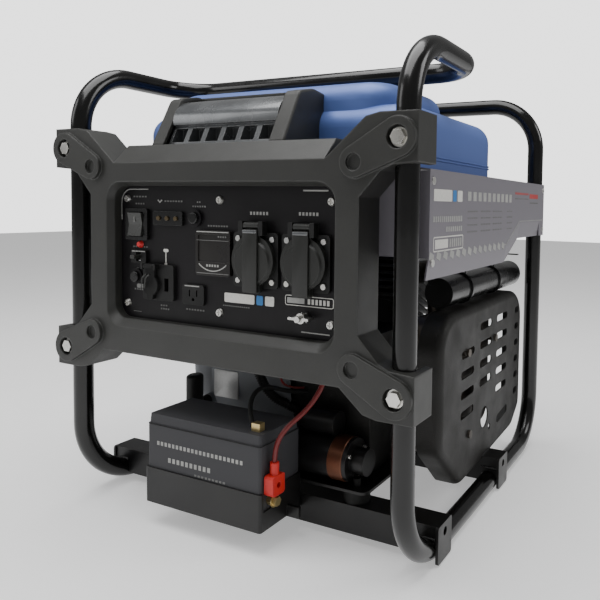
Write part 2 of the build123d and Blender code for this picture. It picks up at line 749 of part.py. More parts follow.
def tank_shape(inset):
    """The tank's outer shape, or its hollow when inset by the wall."""
    with BuildSketch(Plane.XY.offset(tank_z + inset)) as base:
        with Locations((0, tank_y + tank_len / 2)):
            RectangleRounded(tank_w - 2 * inset, tank_len - 2 * inset, 34 - inset)
    with BuildSketch(Plane.XY.offset(tank_top - 20)) as crown:
        with Locations((0, (dome_y[0] + dome_y[1]) / 2)):
            RectangleRounded(tank_w - 66 - 2 * inset, dome_y[1] - dome_y[0] - 2 * inset, 40 - inset)
    with BuildPart() as shape:
        extrude(base.sketch, amount=tank_h - 2 * inset)
        fillet(shape.faces().sort_by(Axis.Z)[-1].edges(), 24 - inset)
        extrude(crown.sketch, amount=20 + dome_h - inset)
        fillet(shape.faces().sort_by(Axis.Z)[-1].edges(), 20 - inset)
    return shape.part


with BuildPart() as fuel_tank:
    add(tank_shape(0))
    rod(Plane.XY.offset(tank_top - 4), cap_at, neck_d / 2, 4 + neck_h)
    add(tank_shape(tank_wall), mode=Mode.SUBTRACT)
    rod(Plane.XY.offset(tank_top - 3 * tank_wall), cap_at, neck_d / 2 - tank_wall, 40, Mode.SUBTRACT)
save(fuel_tank, "fuel_tank")

with BuildPart() as fuel_cap:
    rod(Plane.XY.offset(tank_top + gap), cap_at, cap_d / 2, cap_h)
    fillet(fuel_cap.edges().group_by(Axis.Z)[-1], 3)
    with BuildSketch(Plane.XY.offset(tank_top + gap + 2)) as grips:
        with Locations(cap_at):
            with PolarLocations(cap_d / 2, 18):
                Circle(2)
    extrude(grips.sketch, amount=cap_h - 6)
    rod(Plane.XY.offset(tank_top), cap_at, neck_d / 2 + gap, neck_h + 2 * gap, Mode.SUBTRACT)
    rod(Plane.XY.offset(tank_top + 2), cap_at, neck_d / 2 - tank_wall - gap, neck_h)
save(fuel_cap, "fuel_cap")

# ---- cowl over the panel frame, with its vent --------------------------------------------------------------
deck_z = body_top + deck_rise
cowl_foot = front_y + 2.0
cowl_back = front_y + tank_setback + 20.0


def cowl_solid(x0, x1, inset, mode=Mode.ADD):
    """A slice of the cowl's side outline: foot on the deck, leaning front, rounded crest."""
    with BuildSketch(Plane.YZ.offset(x0)) as side:
        with BuildLine():
            crest = FilletPolyline((cowl_foot + inset, deck_z),
                                   (cowl_foot + 27 + inset, cowl_top - 6 - inset),
                                   (cowl_foot + 52, cowl_top - inset),
                                   (cowl_back, cowl_top - 4 - inset), radius=[10.0, 30.0])
            Polyline(crest @ 1, (cowl_back, deck_z), crest @ 0)
        make_face()
    extrude(side.sketch, amount=x1 - x0, mode=mode)


with BuildPart() as top_cowl:
    cowl_solid(cowl_x[0], cowl_x[1], 0)
    for end in (0, -1):
        rim = top_cowl.edges().group_by(Axis.X)[end]
        fillet(rim.filter_by(lambda e: e.center().Z > deck_z + 1 and e.center().Y < cowl_back - 1), 2.5)
    cowl_solid(cowl_x[0] + cowl_wall, cowl_x[1] - cowl_wall, cowl_wall, Mode.SUBTRACT)
    block(cowl_x[0] + cowl_post_w, cowl_x[1] - cowl_post_w, cowl_foot - 20, cowl_foot + 58,
          deck_z, cowl_top + 20, Mode.SUBTRACT)
    add(tank_shape(-gap), mode=Mode.SUBTRACT)
save(top_cowl, "top_cowl")

vent_x = (cowl_x[0] + cowl_post_w + gap, cowl_x[1] - cowl_post_w - gap)
vent_slots = 6
vent_slot_w = 17.0
vent_foot = cowl_foot + 8.0

with BuildPart() as vent_drum:
    with BuildSketch(Plane.YZ.offset(vent_x[0])):
        with BuildLine():
            Polyline((vent_foot + 46, deck_z + 46), (vent_foot + 46, deck_z), (vent_foot, deck_z),
                     (vent_foot + 10, deck_z + 21), (vent_foot + 6, deck_z + 22))
            ThreePointArc((vent_foot + 6, deck_z + 22), (vent_foot + 14, deck_z + 42),
                          (vent_foot + 36, deck_z + 50))
            Line((vent_foot + 36, deck_z + 50), (vent_foot + 46, deck_z + 46))
        make_face()
    extrude(amount=vent_x[1] - vent_x[0])
    vent_pitch = (vent_x[1] - vent_x[0]) / vent_slots
    for slot in range(vent_slots):
        left = vent_x[0] + slot * vent_pitch + (vent_pitch - vent_slot_w) / 2
        block(left, left + vent_slot_w, vent_foot - 5, vent_foot + 18, deck_z + 3, deck_z + 18,
              Mode.SUBTRACT)
save(vent_drum, "vent_drum")

# ---- side panels -----------------------------------------------------------------------------------------
def side_panel(side):
    """A sheet side panel: flange under the tank, hem along its stepped lower edge, tail on the rear tube."""
    outer = side * side_panel_x
    inner = side * (side_panel_x - side_panel_t)
    shoulder = side * (tank_w / 2 + 4)
    root = side * (tank_w / 2 - 24)
    top = tank_z - 4
    knees = [front_y + knee for knee in side_panel_knees]
    tail = rear_y - tube_r - 6
    with BuildPart() as panel:
        low, high = side_panel_bottom, side_panel_bottom + side_panel_step
        spans = [(back_y, low), (knees[0], low), (knees[1], high), (tail, high)]
        for (near, near_z), (far, far_z) in zip(spans, spans[1:]):
            for y, bottom in ((near, near_z), (far, far_z)):
                with BuildSketch(facing(y)):
                    with BuildLine():
                        Polyline((outer, top), (outer, bottom + side_panel_hem),
                                 (outer - side * 3, bottom), (inner - side * 3, bottom),
                                 (inner, bottom + side_panel_hem), (inner, top - side_panel_t),
                                 (shoulder, tank_z - side_panel_t), (root, tank_z - side_panel_t),
                                 (root, tank_z), (shoulder, tank_z), close=True)
                    make_face()
            loft(ruled=True)
        block(*sorted((outer, inner)), tail - 1, rear_y + 6, high, top)
        block(*sorted((inner, side * 160)), back_y, back_y + side_panel_t, low + side_panel_hem,
              top - side_panel_t)
    return panel


save(side_panel(1), "side_panel_right")
save(side_panel(-1), "side_panel_left")

# ---- inverter behind the control panel -----------------------------------------------------------------------
inverter_front = front_y + 37.0
inverter_depth = 58.0
inverter_x = (-140.0, 120.0)
inverter_z = (205.0, 366.0)

with BuildPart() as inverter_module:
    block(*inverter_x, inverter_front, inverter_front + 30, *inverter_z)
    for fin in range(20):
        left = inverter_x[0] + fin * (inverter_x[1] - inverter_x[0] - 3) / 19
        block(left, left + 3, inverter_front + 30, inverter_front + inverter_depth, *inverter_z)
    for side in (-1, 1):
        for low in (inverter_z[0] + 3, inverter_z[1] - 21):
            block(*sorted((side * 158, side * 110)), inverter_front, inverter_front + 5, low, low + 18)
            block(*sorted((side * 158, side * 150)), back_y, inverter_front, low, low + 18)
save(inverter_module, "inverter_module")

# ---- engine ------------------------------------------------------------------------------------------------------
block_mid_x = sum(block_x) / 2
barrel_plane = Plane(origin=(block_mid_x, crank_y, crank_z), x_dir=(1, 0, 0),
                     z_dir=(0, sin(radians(cylinder_lean)), cos(radians(cylinder_lean))))
fin_t = 3.0
fin_pitch = 9.0

with BuildPart() as engine_block:
    block(*block_x, crank_y - block_half_d, crank_y + block_half_d, engine_z, block_top)
    fillet(engine_block.edges().filter_by(Axis.X), 14)
    with BuildSketch(barrel_plane.offset(barrel_reach[0])):
        Circle(cylinder_bore / 2 + 8)
    extrude(amount=barrel_reach[1] - barrel_reach[0])
    for fin in range(6):
        with BuildSketch(barrel_plane.offset(barrel_reach[1] - fin_t - fin * fin_pitch)):
            RectangleRounded(fin_w - 8, fin_w, 6)
        extrude(amount=fin_t)
    block(block_x[0] + 14, block_x[1] - 14, crank_y - 60, crank_y + 60, engine_z + 12, block_top - 14,
          Mode.SUBTRACT)
    with BuildSketch(barrel_plane):
        Circle(cylinder_bore / 2)
    extrude(amount=barrel_reach[1], mode=Mode.SUBTRACT)
    rod(sideways(0), (crank_y, crank_z), shaft_d / 2 + run, block_x[1] + 20, Mode.SUBTRACT)
save(engine_block, "engine_block")

head_plane = barrel_plane.offset(barrel_reach[1])
cover_plane = head_plane.offset(head_h)

with BuildPart() as cylinder_head:
    with BuildSketch(head_plane):
        RectangleRounded(fin_w - 8, fin_w, 6)
    extrude(amount=head_h)
    for fin in range(2):
        for side in (-1, 1):
            with BuildSketch(head_plane.offset(6 + fin * 11)):
                with Locations((0, side * (fin_w / 2 - 6))):
                    Rectangle(fin_w, 14)
            extrude(amount=6, mode=Mode.SUBTRACT)
    with BuildSketch(head_plane):
        Circle(cylinder_bore / 2 - 3)
    extrude(amount=9, mode=Mode.SUBTRACT)
save(cylinder_head, "cylinder_head")

with BuildPart() as valve_cover:
    with BuildSketch(cover_plane):
        RectangleRounded(78, 88, 12)
    extrude(amount=20)
    fillet(valve_cover.faces().sort_by(Axis(cover_plane.origin, cover_plane.z_dir))[-1].edges(), 6)
save(valve_cover, "valve_cover")

head_middle = head_plane.offset(head_h / 2).origin

with BuildPart() as spark_plug:
    plug_plane = Plane(origin=head_middle + barrel_plane.y_dir * -fin_w / 2,
                       x_dir=(1, 0, 0), z_dir=-barrel_plane.y_dir)
    rod(plug_plane, (0, 0), 5, 14)
    with BuildSketch(plug_plane.offset(6)):
        RegularPolygon(9, 6)
    extrude(amount=9)
    rod(plug_plane.offset(15), (0, 0), 6, 18)
    rod(plug_plane.offset(20), (0, 0), 9, 24)
save(spark_plug, "spark_plug")

webs = (block_x[0] + 24.0, block_x[1] - 34.0)
web_t = 10.0

with BuildPart() as crankshaft:
    rod(sideways(shroud_x + 3), (crank_y, crank_z), shaft_d / 2, webs[0] - shroud_x - 3)
    rod(sideways(webs[1] + web_t), (crank_y, crank_z), shaft_d / 2, block_x[1] + 14 - webs[1] - web_t)
    for web in webs:
        rod(sideways(web), (crank_y, crank_z), 38, web_t)
    rod(sideways(webs[0] + web_t), (crank_y, crank_z - 23), 13, webs[1] - webs[0] - web_t)
save(crankshaft, "crankshaft")

with BuildPart() as flywheel_rotor:
    rod(sideways(rotor_x[0]), (crank_y, crank_z), rotor_d / 2, rotor_x[1] - rotor_x[0])
    rod(sideways(rotor_x[0] + 5), (crank_y, crank_z), rotor_d / 2 - 7, 80, Mode.SUBTRACT)
    rod(sideways(rotor_x[0]), (crank_y, crank_z), 24, 16)
    with BuildSketch(sideways(rotor_x[0] - 10)):
        with Locations((crank_y, crank_z)):
            with PolarLocations(rotor_d / 2 - 20, 10):
                Rectangle(30, 3)
    extrude(amount=10)
    rod(sideways(rotor_x[0] - 20), (crank_y, crank_z), shaft_d / 2, 60, Mode.SUBTRACT)
save(flywheel_rotor, "flywheel_rotor")

with BuildPart() as stator:
    with BuildSketch(sideways(rotor_x[0] + 20)):
        with Locations((crank_y, crank_z)):
            Circle(rotor_d / 2 - 8)
            Circle(30, mode=Mode.SUBTRACT)
            with PolarLocations(rotor_d / 2 - 16, 18):
                Rectangle(22, 5, mode=Mode.SUBTRACT)
    extrude(amount=38)
    with BuildSketch(sideways(rotor_x[0] + 20)):
        with Locations((crank_y, crank_z)):
            Circle(30)
            Circle(24, mode=Mode.SUBTRACT)
    extrude(amount=block_x[0] - rotor_x[0] - 20)
save(stator, "stator")

with BuildPart() as fan_shroud:
    rod(sideways(shroud_x), (crank_y, crank_z), shroud_d / 2, block_x[0] - shroud_x)
    rod(sideways(shroud_x + plastic), (crank_y, crank_z), shroud_d / 2 - plastic,
        block_x[0] - shroud_x, Mode.SUBTRACT)
    rod(sideways(shroud_x - 5), (crank_y, crank_z), 52, 20, Mode.SUBTRACT)
    with BuildSketch(sideways(shroud_x)):
        with Locations((crank_y, crank_z)):
            with PolarLocations(78.5, 40):
                Circle(2.4)
    extrude(amount=plastic, mode=Mode.SUBTRACT)
save(fan_shroud, "fan_shroud")

recoil_x = shroud_x - recoil_depth
grip_x = shroud_x - 18.0

with BuildPart() as recoil_cover:
    with BuildSketch(sideways(shroud_x)):
        with Locations((crank_y, crank_z)):
            Circle(recoil_d / 2)
    extrude(amount=-recoil_depth)
    fillet(recoil_cover.faces().sort_by(Axis.X)[0].edges(), 22)
    rod(sideways(shroud_x), (crank_y, crank_z), recoil_d / 2 - 2 * plastic, -(recoil_depth - 10),
        Mode.SUBTRACT)
    rod(sideways(recoil_x + 1), (crank_y, crank_z), 8, recoil_depth - 8)
    with BuildSketch(sideways(recoil_x)):
        with Locations((crank_y, crank_z)):
            with PolarLocations(34, 12):
                SlotOverall(22, 5)
    extrude(amount=12, mode=Mode.SUBTRACT)
    with BuildSketch(facing(crank_y - 58)):
        with Locations((grip_x, crank_z - pulley_r)):
            Circle(8)
    extrude(amount=14)
    rod(facing(crank_y - 30), (grip_x, crank_z - pulley_r), 3.5, 60, Mode.SUBTRACT)
save(recoil_cover, "recoil_cover")

with BuildPart() as recoil_pulley:
    with BuildSketch(sideways(grip_x - pulley_t / 2)):
        with Locations((crank_y, crank_z)):
            Circle(pulley_r)
            Circle(8 + run, mode=Mode.SUBTRACT)
    extrude(amount=pulley_t)
    with BuildSketch(sideways(grip_x - 2)):
        with Locations((crank_y, crank_z)):
            Circle(pulley_r + 1)
            Circle(pulley_r - 7, mode=Mode.SUBTRACT)
    extrude(amount=4, mode=Mode.SUBTRACT)
save(recoil_pulley, "recoil_pulley")

grip_y = crank_y - 72.0 - gap

with BuildPart() as recoil_grip:
    with BuildSketch(facing(grip_y)):
        with Locations((grip_x, crank_z - pulley_r)):
            Circle(7)
    extrude(amount=16)
    with BuildSketch(Plane.XY.offset(crank_z - pulley_r - 38)):
        with Locations((grip_x, grip_y - 22)):
            Ellipse(9, 11)
    extrude(amount=76)
    fillet(recoil_grip.faces().sort_by(Axis.Z)[-1].edges(), 4)
    fillet(recoil_grip.faces().sort_by(Axis.Z)[0].edges(), 4)
save(recoil_grip, "recoil_grip")

starter_y = crank_y - block_half_d - starter_d / 2
starter_z = engine_z + starter_d / 2 + gap

with BuildPart() as starter_motor:
    rod(sideways(block_x[0] + 22), (starter_y, starter_z), starter_d / 2, 74)
    rod(sideways(block_x[0] + 2), (starter_y, starter_z), starter_d / 2 - 6, 20)
    rod(sideways(block_x[0] + 96), (starter_y, starter_z), starter_d / 2 - 9, 16)
    block(block_x[0] + 26, block_x[1] - 20, starter_y, starter_y + starter_d / 2, starter_z - 6,
          starter_z + 10)
    rod(sideways(block_x[0] + 30), (starter_y + 2, starter_z + starter_d / 2 + 12), 13, 44)
    block(block_x[0] + 36, block_x[0] + 68, starter_y - 2, starter_y + 6, starter_z + 15,
          starter_z + starter_d / 2 + 8)
save(starter_motor, "starter_motor")

with BuildPart() as carburetor:
    carb_z = head_middle.Z
    carb_y = head_middle.Y
    head_left = block_mid_x - (fin_w - 8) / 2
    rod(sideways(head_left), (carb_y, carb_z), 16, -44)
    block(head_left - 36, head_left - 10, carb_y - 18, carb_y + 18, carb_z - 34, carb_z + 12)
    block(head_left - 4, head_left, carb_y - 22, carb_y + 22, carb_z - 12, carb_z + 12)
    rod(sideways(head_left + 1), (carb_y, carb_z), 10, -60, Mode.SUBTRACT)
save(carburetor, "carburetor")

cleaner_right = head_left - 44.0

with BuildPart() as air_cleaner:
    block(cleaner_right - 92, cleaner_right, carb_y - 46, carb_y + 46, 240, 330)
    fillet(air_cleaner.edges().filter_by(Axis.Y), 8)
    block(cleaner_right - 92, cleaner_right - 90, carb_y - 20, carb_y + 20, 262, 308, Mode.SUBTRACT)
save(air_cleaner, "air_cleaner")

# ---- exhaust side ------------------------------------------------------------------------------------------------
muffler_y = (front_y + 116.0, front_y + 290.0)
muffler_z = (75.0, 224.0)
head_right = block_mid_x + (fin_w - 8) / 2
port_y = carb_y
stud_places = [(front_y + 182.0, 181.0), (front_y + 190.0, 84.0), (front_y + 280.0, 181.0)]

with BuildPart() as muffler:
    block(*muffler_x, *muffler_y, *muffler_z)
    fillet(muffler.edges().filter_by(Axis.X), 24)
    fillet(muffler.faces().filter_by(Axis.X).edges(), 6)
    with BuildLine() as pipe_path:
        FilletPolyline((head_right, port_y, carb_z - 12), (head_right + 17, port_y, carb_z - 12),
                       (head_right + 17, port_y, muffler_z[1] - 30), (muffler_x[0] + 4, port_y, muffler_z[1] - 30),
                       radius=12)
    with BuildSketch(Plane(pipe_path.line @ 0, z_dir=(1, 0, 0))):
        Circle(10)
    sweep(path=pipe_path.line)
    block(head_right, head_right + 5, port_y - 24, port_y + 24, carb_z - 25, carb_z + 1)
    block(block_x[1], muffler_x[0] + 2, crank_y - 30, crank_y + 30, 120, 124)
    for place in stud_places:
        rod(sideways(muffler_x[1] - 2), place, 4, shield_x - sheet - muffler_x[1] + 2)
        rod(sideways(shield_x), place, 4.5, 3)
        rod(sideways(shield_x - sheet), place, 2.5, sheet)
save(muffler, "muffler")

shield_y = (front_y + 104.0, front_y + 404.0)
shield_z = (30.0, 231.0)
slot_pitch = 23.0
slot_columns = [(front_y + 184.0, 42.0, (1, 2, 3, 4)), (front_y + 247.0, 44.0, (0, 1, 2, 3)),
                (front_y + 311.0, 44.0, (0, 1, 2, 3, 4)), (front_y + 378.0, 18.0, (0, 1, 2, 3, 4, 5))]
slot_top = 203.5

with BuildPart() as heat_shield:
    with BuildSketch(sideways(shield_x - shield_depth)):
        with BuildLine():
            FilletPolyline((shield_y[0], 88), (shield_y[0], shield_z[1]), (shield_y[1], shield_z[1]),
                           (shield_y[1], 62), (shield_y[1] - 36, shield_z[0] + 8),
                           (shield_y[0] + 62, shield_z[0]), close=True,
                           radius=[30.0, 42.0, 42.0, 20.0, 30.0, 30.0])
        make_face()
    extrude(amount=shield_depth)
    fillet(heat_shield.faces().sort_by(Axis.X)[-1].edges(), 9)
    offset(amount=-sheet, openings=heat_shield.faces().sort_by(Axis.X)[0])
    for middle, length, rows in slot_columns:
        with BuildSketch(sideways(shield_x - 4)) as slots:
            with Locations(*[(middle, slot_top - slot_pitch * row) for row in rows]):
                SlotOverall(length, 9)
        extrude(slots.sketch, amount=8, mode=Mode.SUBTRACT)
    with BuildSketch(sideways(shield_x - 4)) as extras:
        with Locations((front_y + 246, 88)):
            Circle(13)
        with Locations((front_y + 318, 72)):
            SlotOverall(46, 11, rotation=6)
        with Locations((front_y + 266, 70)):
            Circle(4)
        with Locations(*stud_places):
            Circle(2.5 + fit)
    extrude(extras.sketch, amount=8, mode=Mode.SUBTRACT)
    block(shield_x - shield_depth - 1, shield_x + 1, rear_channel_y - channel_w / 2 - 4,
          rear_channel_y + channel_w / 2 + 4, shield_z[0] - 1, channel_top + 2, Mode.SUBTRACT)
save(heat_shield, "heat_shield")

canister_y = (front_y + 150.0, front_y + 412.0)

with BuildPart() as evap_canister:
    with BuildSketch(facing(canister_y[0])):
        with Locations((canister_x, canister_z)):
            Circle(canister_d / 2 - 1)
    extrude(amount=canister_y[0] - canister_y[1])
    with BuildSketch(facing(canister_y[1] - 90)):
        with Locations((canister_x, canister_z)):
            Circle(canister_d / 2)
    extrude(amount=-90)
    for y in (canister_y[0] + 60, canister_y[1] - 96):
        with BuildSketch(facing(y)):
            with Locations((canister_x, canister_z)):
                Circle(canister_d / 2 + 1.2)
        extrude(amount=-6)
        block(canister_x + 7.7, canister_x + 9.2, y, y + 6, canister_z + 14, side_panel_bottom + 6)
        block(canister_x + 8, side_panel_x - 4, y, y + 6, side_panel_bottom + 4.5, side_panel_bottom + 6)
save(evap_canister, "evap_canister")
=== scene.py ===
import logging
import math
from dataclasses import dataclass
from enum import Enum
from typing import Callable, Dict, List, Optional, Sequence, Tuple

import bmesh
import bpy
from mathutils import Matrix, Vector


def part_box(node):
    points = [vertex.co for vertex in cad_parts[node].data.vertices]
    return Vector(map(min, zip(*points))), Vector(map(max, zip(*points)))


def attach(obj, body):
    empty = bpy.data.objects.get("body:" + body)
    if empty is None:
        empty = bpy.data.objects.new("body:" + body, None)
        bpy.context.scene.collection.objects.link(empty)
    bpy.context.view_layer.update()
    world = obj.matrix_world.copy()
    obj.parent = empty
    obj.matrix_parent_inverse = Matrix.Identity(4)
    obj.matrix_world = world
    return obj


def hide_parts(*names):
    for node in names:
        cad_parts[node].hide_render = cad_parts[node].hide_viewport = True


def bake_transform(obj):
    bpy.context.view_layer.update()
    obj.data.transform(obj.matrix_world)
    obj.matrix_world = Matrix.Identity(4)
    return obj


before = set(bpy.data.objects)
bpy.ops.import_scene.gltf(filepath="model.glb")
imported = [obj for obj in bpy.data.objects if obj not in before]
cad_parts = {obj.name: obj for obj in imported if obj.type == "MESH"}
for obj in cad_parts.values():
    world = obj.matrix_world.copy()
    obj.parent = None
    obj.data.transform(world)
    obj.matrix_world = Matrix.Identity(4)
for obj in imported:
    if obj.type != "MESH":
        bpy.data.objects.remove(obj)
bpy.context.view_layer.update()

LOG = logging.getLogger("generator")
Point = Tuple[float, float, float]
Colour = Tuple[float, float, float]
MM = 0.001


class Grain(Enum):
    """How a surface is broken up when it is seen close to."""

    ENAMEL = "enamel"
    MOULDED = "moulded"
    CAST = "cast"
    BRUSHED = "brushed"
    RUBBER = "rubber"
    PRINTED = "printed"


class Layout(Enum):
    """How a repeated piece is set out."""

    LINE = "line"
    RING = "ring"
    PATH = "path"


class Unit(Enum):
    """The small shape that is repeated."""

    BLOCK = "block"
    ROD = "rod"
    HOOP = "hoop"
    BEAD = "bead"


GRAIN_SCALE: Dict[Grain, Tuple[float, float, float]] = {
    Grain.ENAMEL: (160.0, 0.05, 0.0004),
    Grain.MOULDED: (1100.0, 0.32, 0.00025),
    Grain.CAST: (620.0, 0.6, 0.0006),
    Grain.BRUSHED: (420.0, 0.14, 0.0002),
    Grain.RUBBER: (700.0, 0.2, 0.0002),
    Grain.PRINTED: (900.0, 0.08, 0.0001),
}
CLOUDS = (14.0, 5.0)
SPECKLE = (420.0, 3.0)
SMUDGES = (32.0, 6.0)
# Noise that breaks up the edge colour, which is rubbed wear and painted highlight.
RUBBING_AND_SHEEN = (90.0, 6.0)
SEED = 7


def add(tree: bpy.types.NodeTree, kind: str, inputs: Optional[Dict[object, object]] = None,
        **settings: object) -> bpy.types.Node:
    """Adds a node to a tree.

    Args:
        tree: The node tree.
        kind: The node's type.
        inputs: Input name or number, and the socket that feeds it or its constant.
        settings: The node's own properties.

    Returns:
        The new node.
    """
    node = tree.nodes.new(kind)
    for name, value in settings.items():
        setattr(node, name, value)
    feed(tree, node, inputs or {})
    return node


def feed(tree: bpy.types.NodeTree, node: bpy.types.Node, inputs: Dict[object, object]) -> None:
    """Links each socket to its input, and sets each constant on its input."""
    for key, value in inputs.items():
        if isinstance(value, bpy.types.NodeSocket):
            tree.links.new(value, node.inputs[key])
        else:
            node.inputs[key].default_value = value


def noise(tree: bpy.types.NodeTree, place: bpy.types.NodeSocket, scale: float,
          detail: float) -> bpy.types.NodeSocket:
    """Returns a noise value socket at a scale, read from the given coordinates."""
    values = {"Scale": scale, "Detail": detail, "Vector": place}
    return add(tree, "ShaderNodeTexNoise", values).outputs["Fac"]


@dataclass(frozen=True)
class Finish:
    """A paint, plating or moulded surface.

    Args:
        name: The finish's name in the shop.
        base: Its main colour.
        tint: The second colour that drifts over it in soft clouds.
        grain: The close-up texture.
        rough: Lowest and highest roughness.
        metal: Metallic value.
        coat: Clear coat weight.
        edge_wear_and_highlight: Colour along edges, both rubbed wear and a painted highlight where edges
            catch light, or None.
        edge_wear_and_highlight_width: Width of that edge colour in metres, rubbed wear and painted
            highlight.
        round_edge: Radius in metres that softens edges where light catches them.
        glow: Strength of light given off.
        shine: How strongly the bare surface reflects.
    """

    name: str
    base: Colour
    tint: Colour
    grain: Grain
    rough: Tuple[float, float]
    metal: float = 0.0
    coat: float = 0.0
    edge_wear_and_highlight: Optional[Colour] = None
    edge_wear_and_highlight_width: float = 0.0012
    round_edge: float = 0.0006
    glow: float = 0.0
    shine: float = 0.5

    def material(self) -> bpy.types.Material:
        """Builds the node material once and returns it.

        Returns:
            The Blender material of this finish.
        """
        known = bpy.data.materials.get(self.name)
        if known is not None:
            return known
        made = bpy.data.materials.new(self.name)
        made.use_nodes = True
        tree = made.node_tree
        shader = tree.nodes["Principled BSDF"]
        place = add(tree, "ShaderNodeTexCoord").outputs["Object"]
        ramp = add(tree, "ShaderNodeValToRGB", {"Fac": noise(tree, place, *CLOUDS)})
        stops = zip(ramp.color_ramp.elements, (0.36, 0.64), (self.base, self.tint))
        for stop, position, paint in stops:
            stop.position = position
            stop.color = (*paint, 1.0)
        speck = add(tree, "ShaderNodeMapRange", {"Value": noise(tree, place, *SPECKLE), "To Min": 0.86,
                                                 "To Max": 1.14})
        colour = add(tree, "ShaderNodeVectorMath", {0: ramp.outputs["Color"],
                                                    "Scale": speck.outputs["Result"]},
                     operation="SCALE").outputs["Vector"]
        # Edge colour: rubbed wear, and a painted highlight along edges that catch light.
        if self.edge_wear_and_highlight is not None:
            colour = self._worn_and_highlit(tree, place, colour)
        gloss = add(tree, "ShaderNodeMapRange", {"Value": noise(tree, place, *SMUDGES), "From Min": 0.3,
                                                 "From Max": 0.7, "To Min": self.rough[0],
                                                 "To Max": self.rough[1]})
        soft_edge = add(tree, "ShaderNodeBevel", {"Radius": self.round_edge}, samples=4)
        scale, strength, distance = GRAIN_SCALE[self.grain]
        bump = add(tree, "ShaderNodeBump", {"Strength": strength, "Distance": distance,
                                            "Height": self._height(tree, place, scale),
                                            "Normal": soft_edge.outputs["Normal"]})
        feed(tree, shader, {"Metallic": self.metal, "Coat Weight": self.coat, "Coat Roughness": 0.06,
                            "Specular IOR Level": self.shine, "Base Color": colour,
                            "Roughness": gloss.outputs["Result"], "Normal": bump.outputs["Normal"]})
        if self.glow > 0.0:
            feed(tree, shader, {"Emission Strength": self.glow, "Emission Color": (*self.base, 1.0)})
        return made

    def _worn_and_highlit(self, tree: bpy.types.NodeTree, place: bpy.types.NodeSocket,
              colour: bpy.types.NodeSocket) -> bpy.types.NodeSocket:
        """Mixes the edge colour in along edges, broken up by noise: rubbed wear, and a painted highlight
        where edges catch light.

        Args:
            tree: The node tree.
            place: Object coordinates.
            colour: The colour so far.

        Returns:
            The colour with rubbed edges and painted edge highlights.
        """
        wide = add(tree, "ShaderNodeBevel", {"Radius": self.edge_wear_and_highlight_width}, samples=4)
        flat = add(tree, "ShaderNodeNewGeometry").outputs["Normal"]
        dot = add(tree, "ShaderNodeVectorMath", {0: wide.outputs["Normal"], 1: flat},
                  operation="DOT_PRODUCT")
        edge = add(tree, "ShaderNodeMapRange", {"Value": dot.outputs["Value"], "From Min": 0.995,
                                                "From Max": 0.86})
        patch = add(tree, "ShaderNodeMath", {0: edge.outputs["Result"],
                                             1: noise(tree, place, *RUBBING_AND_SHEEN)}, operation="MULTIPLY")
        mix = add(tree, "ShaderNodeMix", data_type="RGBA")
        feed(tree, mix, {0: patch.outputs["Value"], 6: colour, 7: (*self.edge_wear_and_highlight, 1.0)})
        return mix.outputs[2]

    def _height(self, tree: bpy.types.NodeTree, place: bpy.types.NodeSocket,
                scale: float) -> bpy.types.NodeSocket:
        """Returns the height pattern of the grain.

        Args:
            tree: The node tree.
            place: Object coordinates.
            scale: Cells or waves per metre.

        Returns:
            A height value socket.
        """
        if self.grain is Grain.MOULDED:
            cells = add(tree, "ShaderNodeTexVoronoi", {"Scale": scale, "Vector": place},
                        feature="SMOOTH_F1")
            return cells.outputs["Distance"]
        if self.grain is Grain.BRUSHED:
            drawn = add(tree, "ShaderNodeMapping", {"Scale": (1.0, 0.06, 1.0), "Vector": place})
            return noise(tree, drawn.outputs["Vector"], scale, 4.0)
        return noise(tree, place, scale, 8.0 if self.grain is Grain.CAST else 2.0)


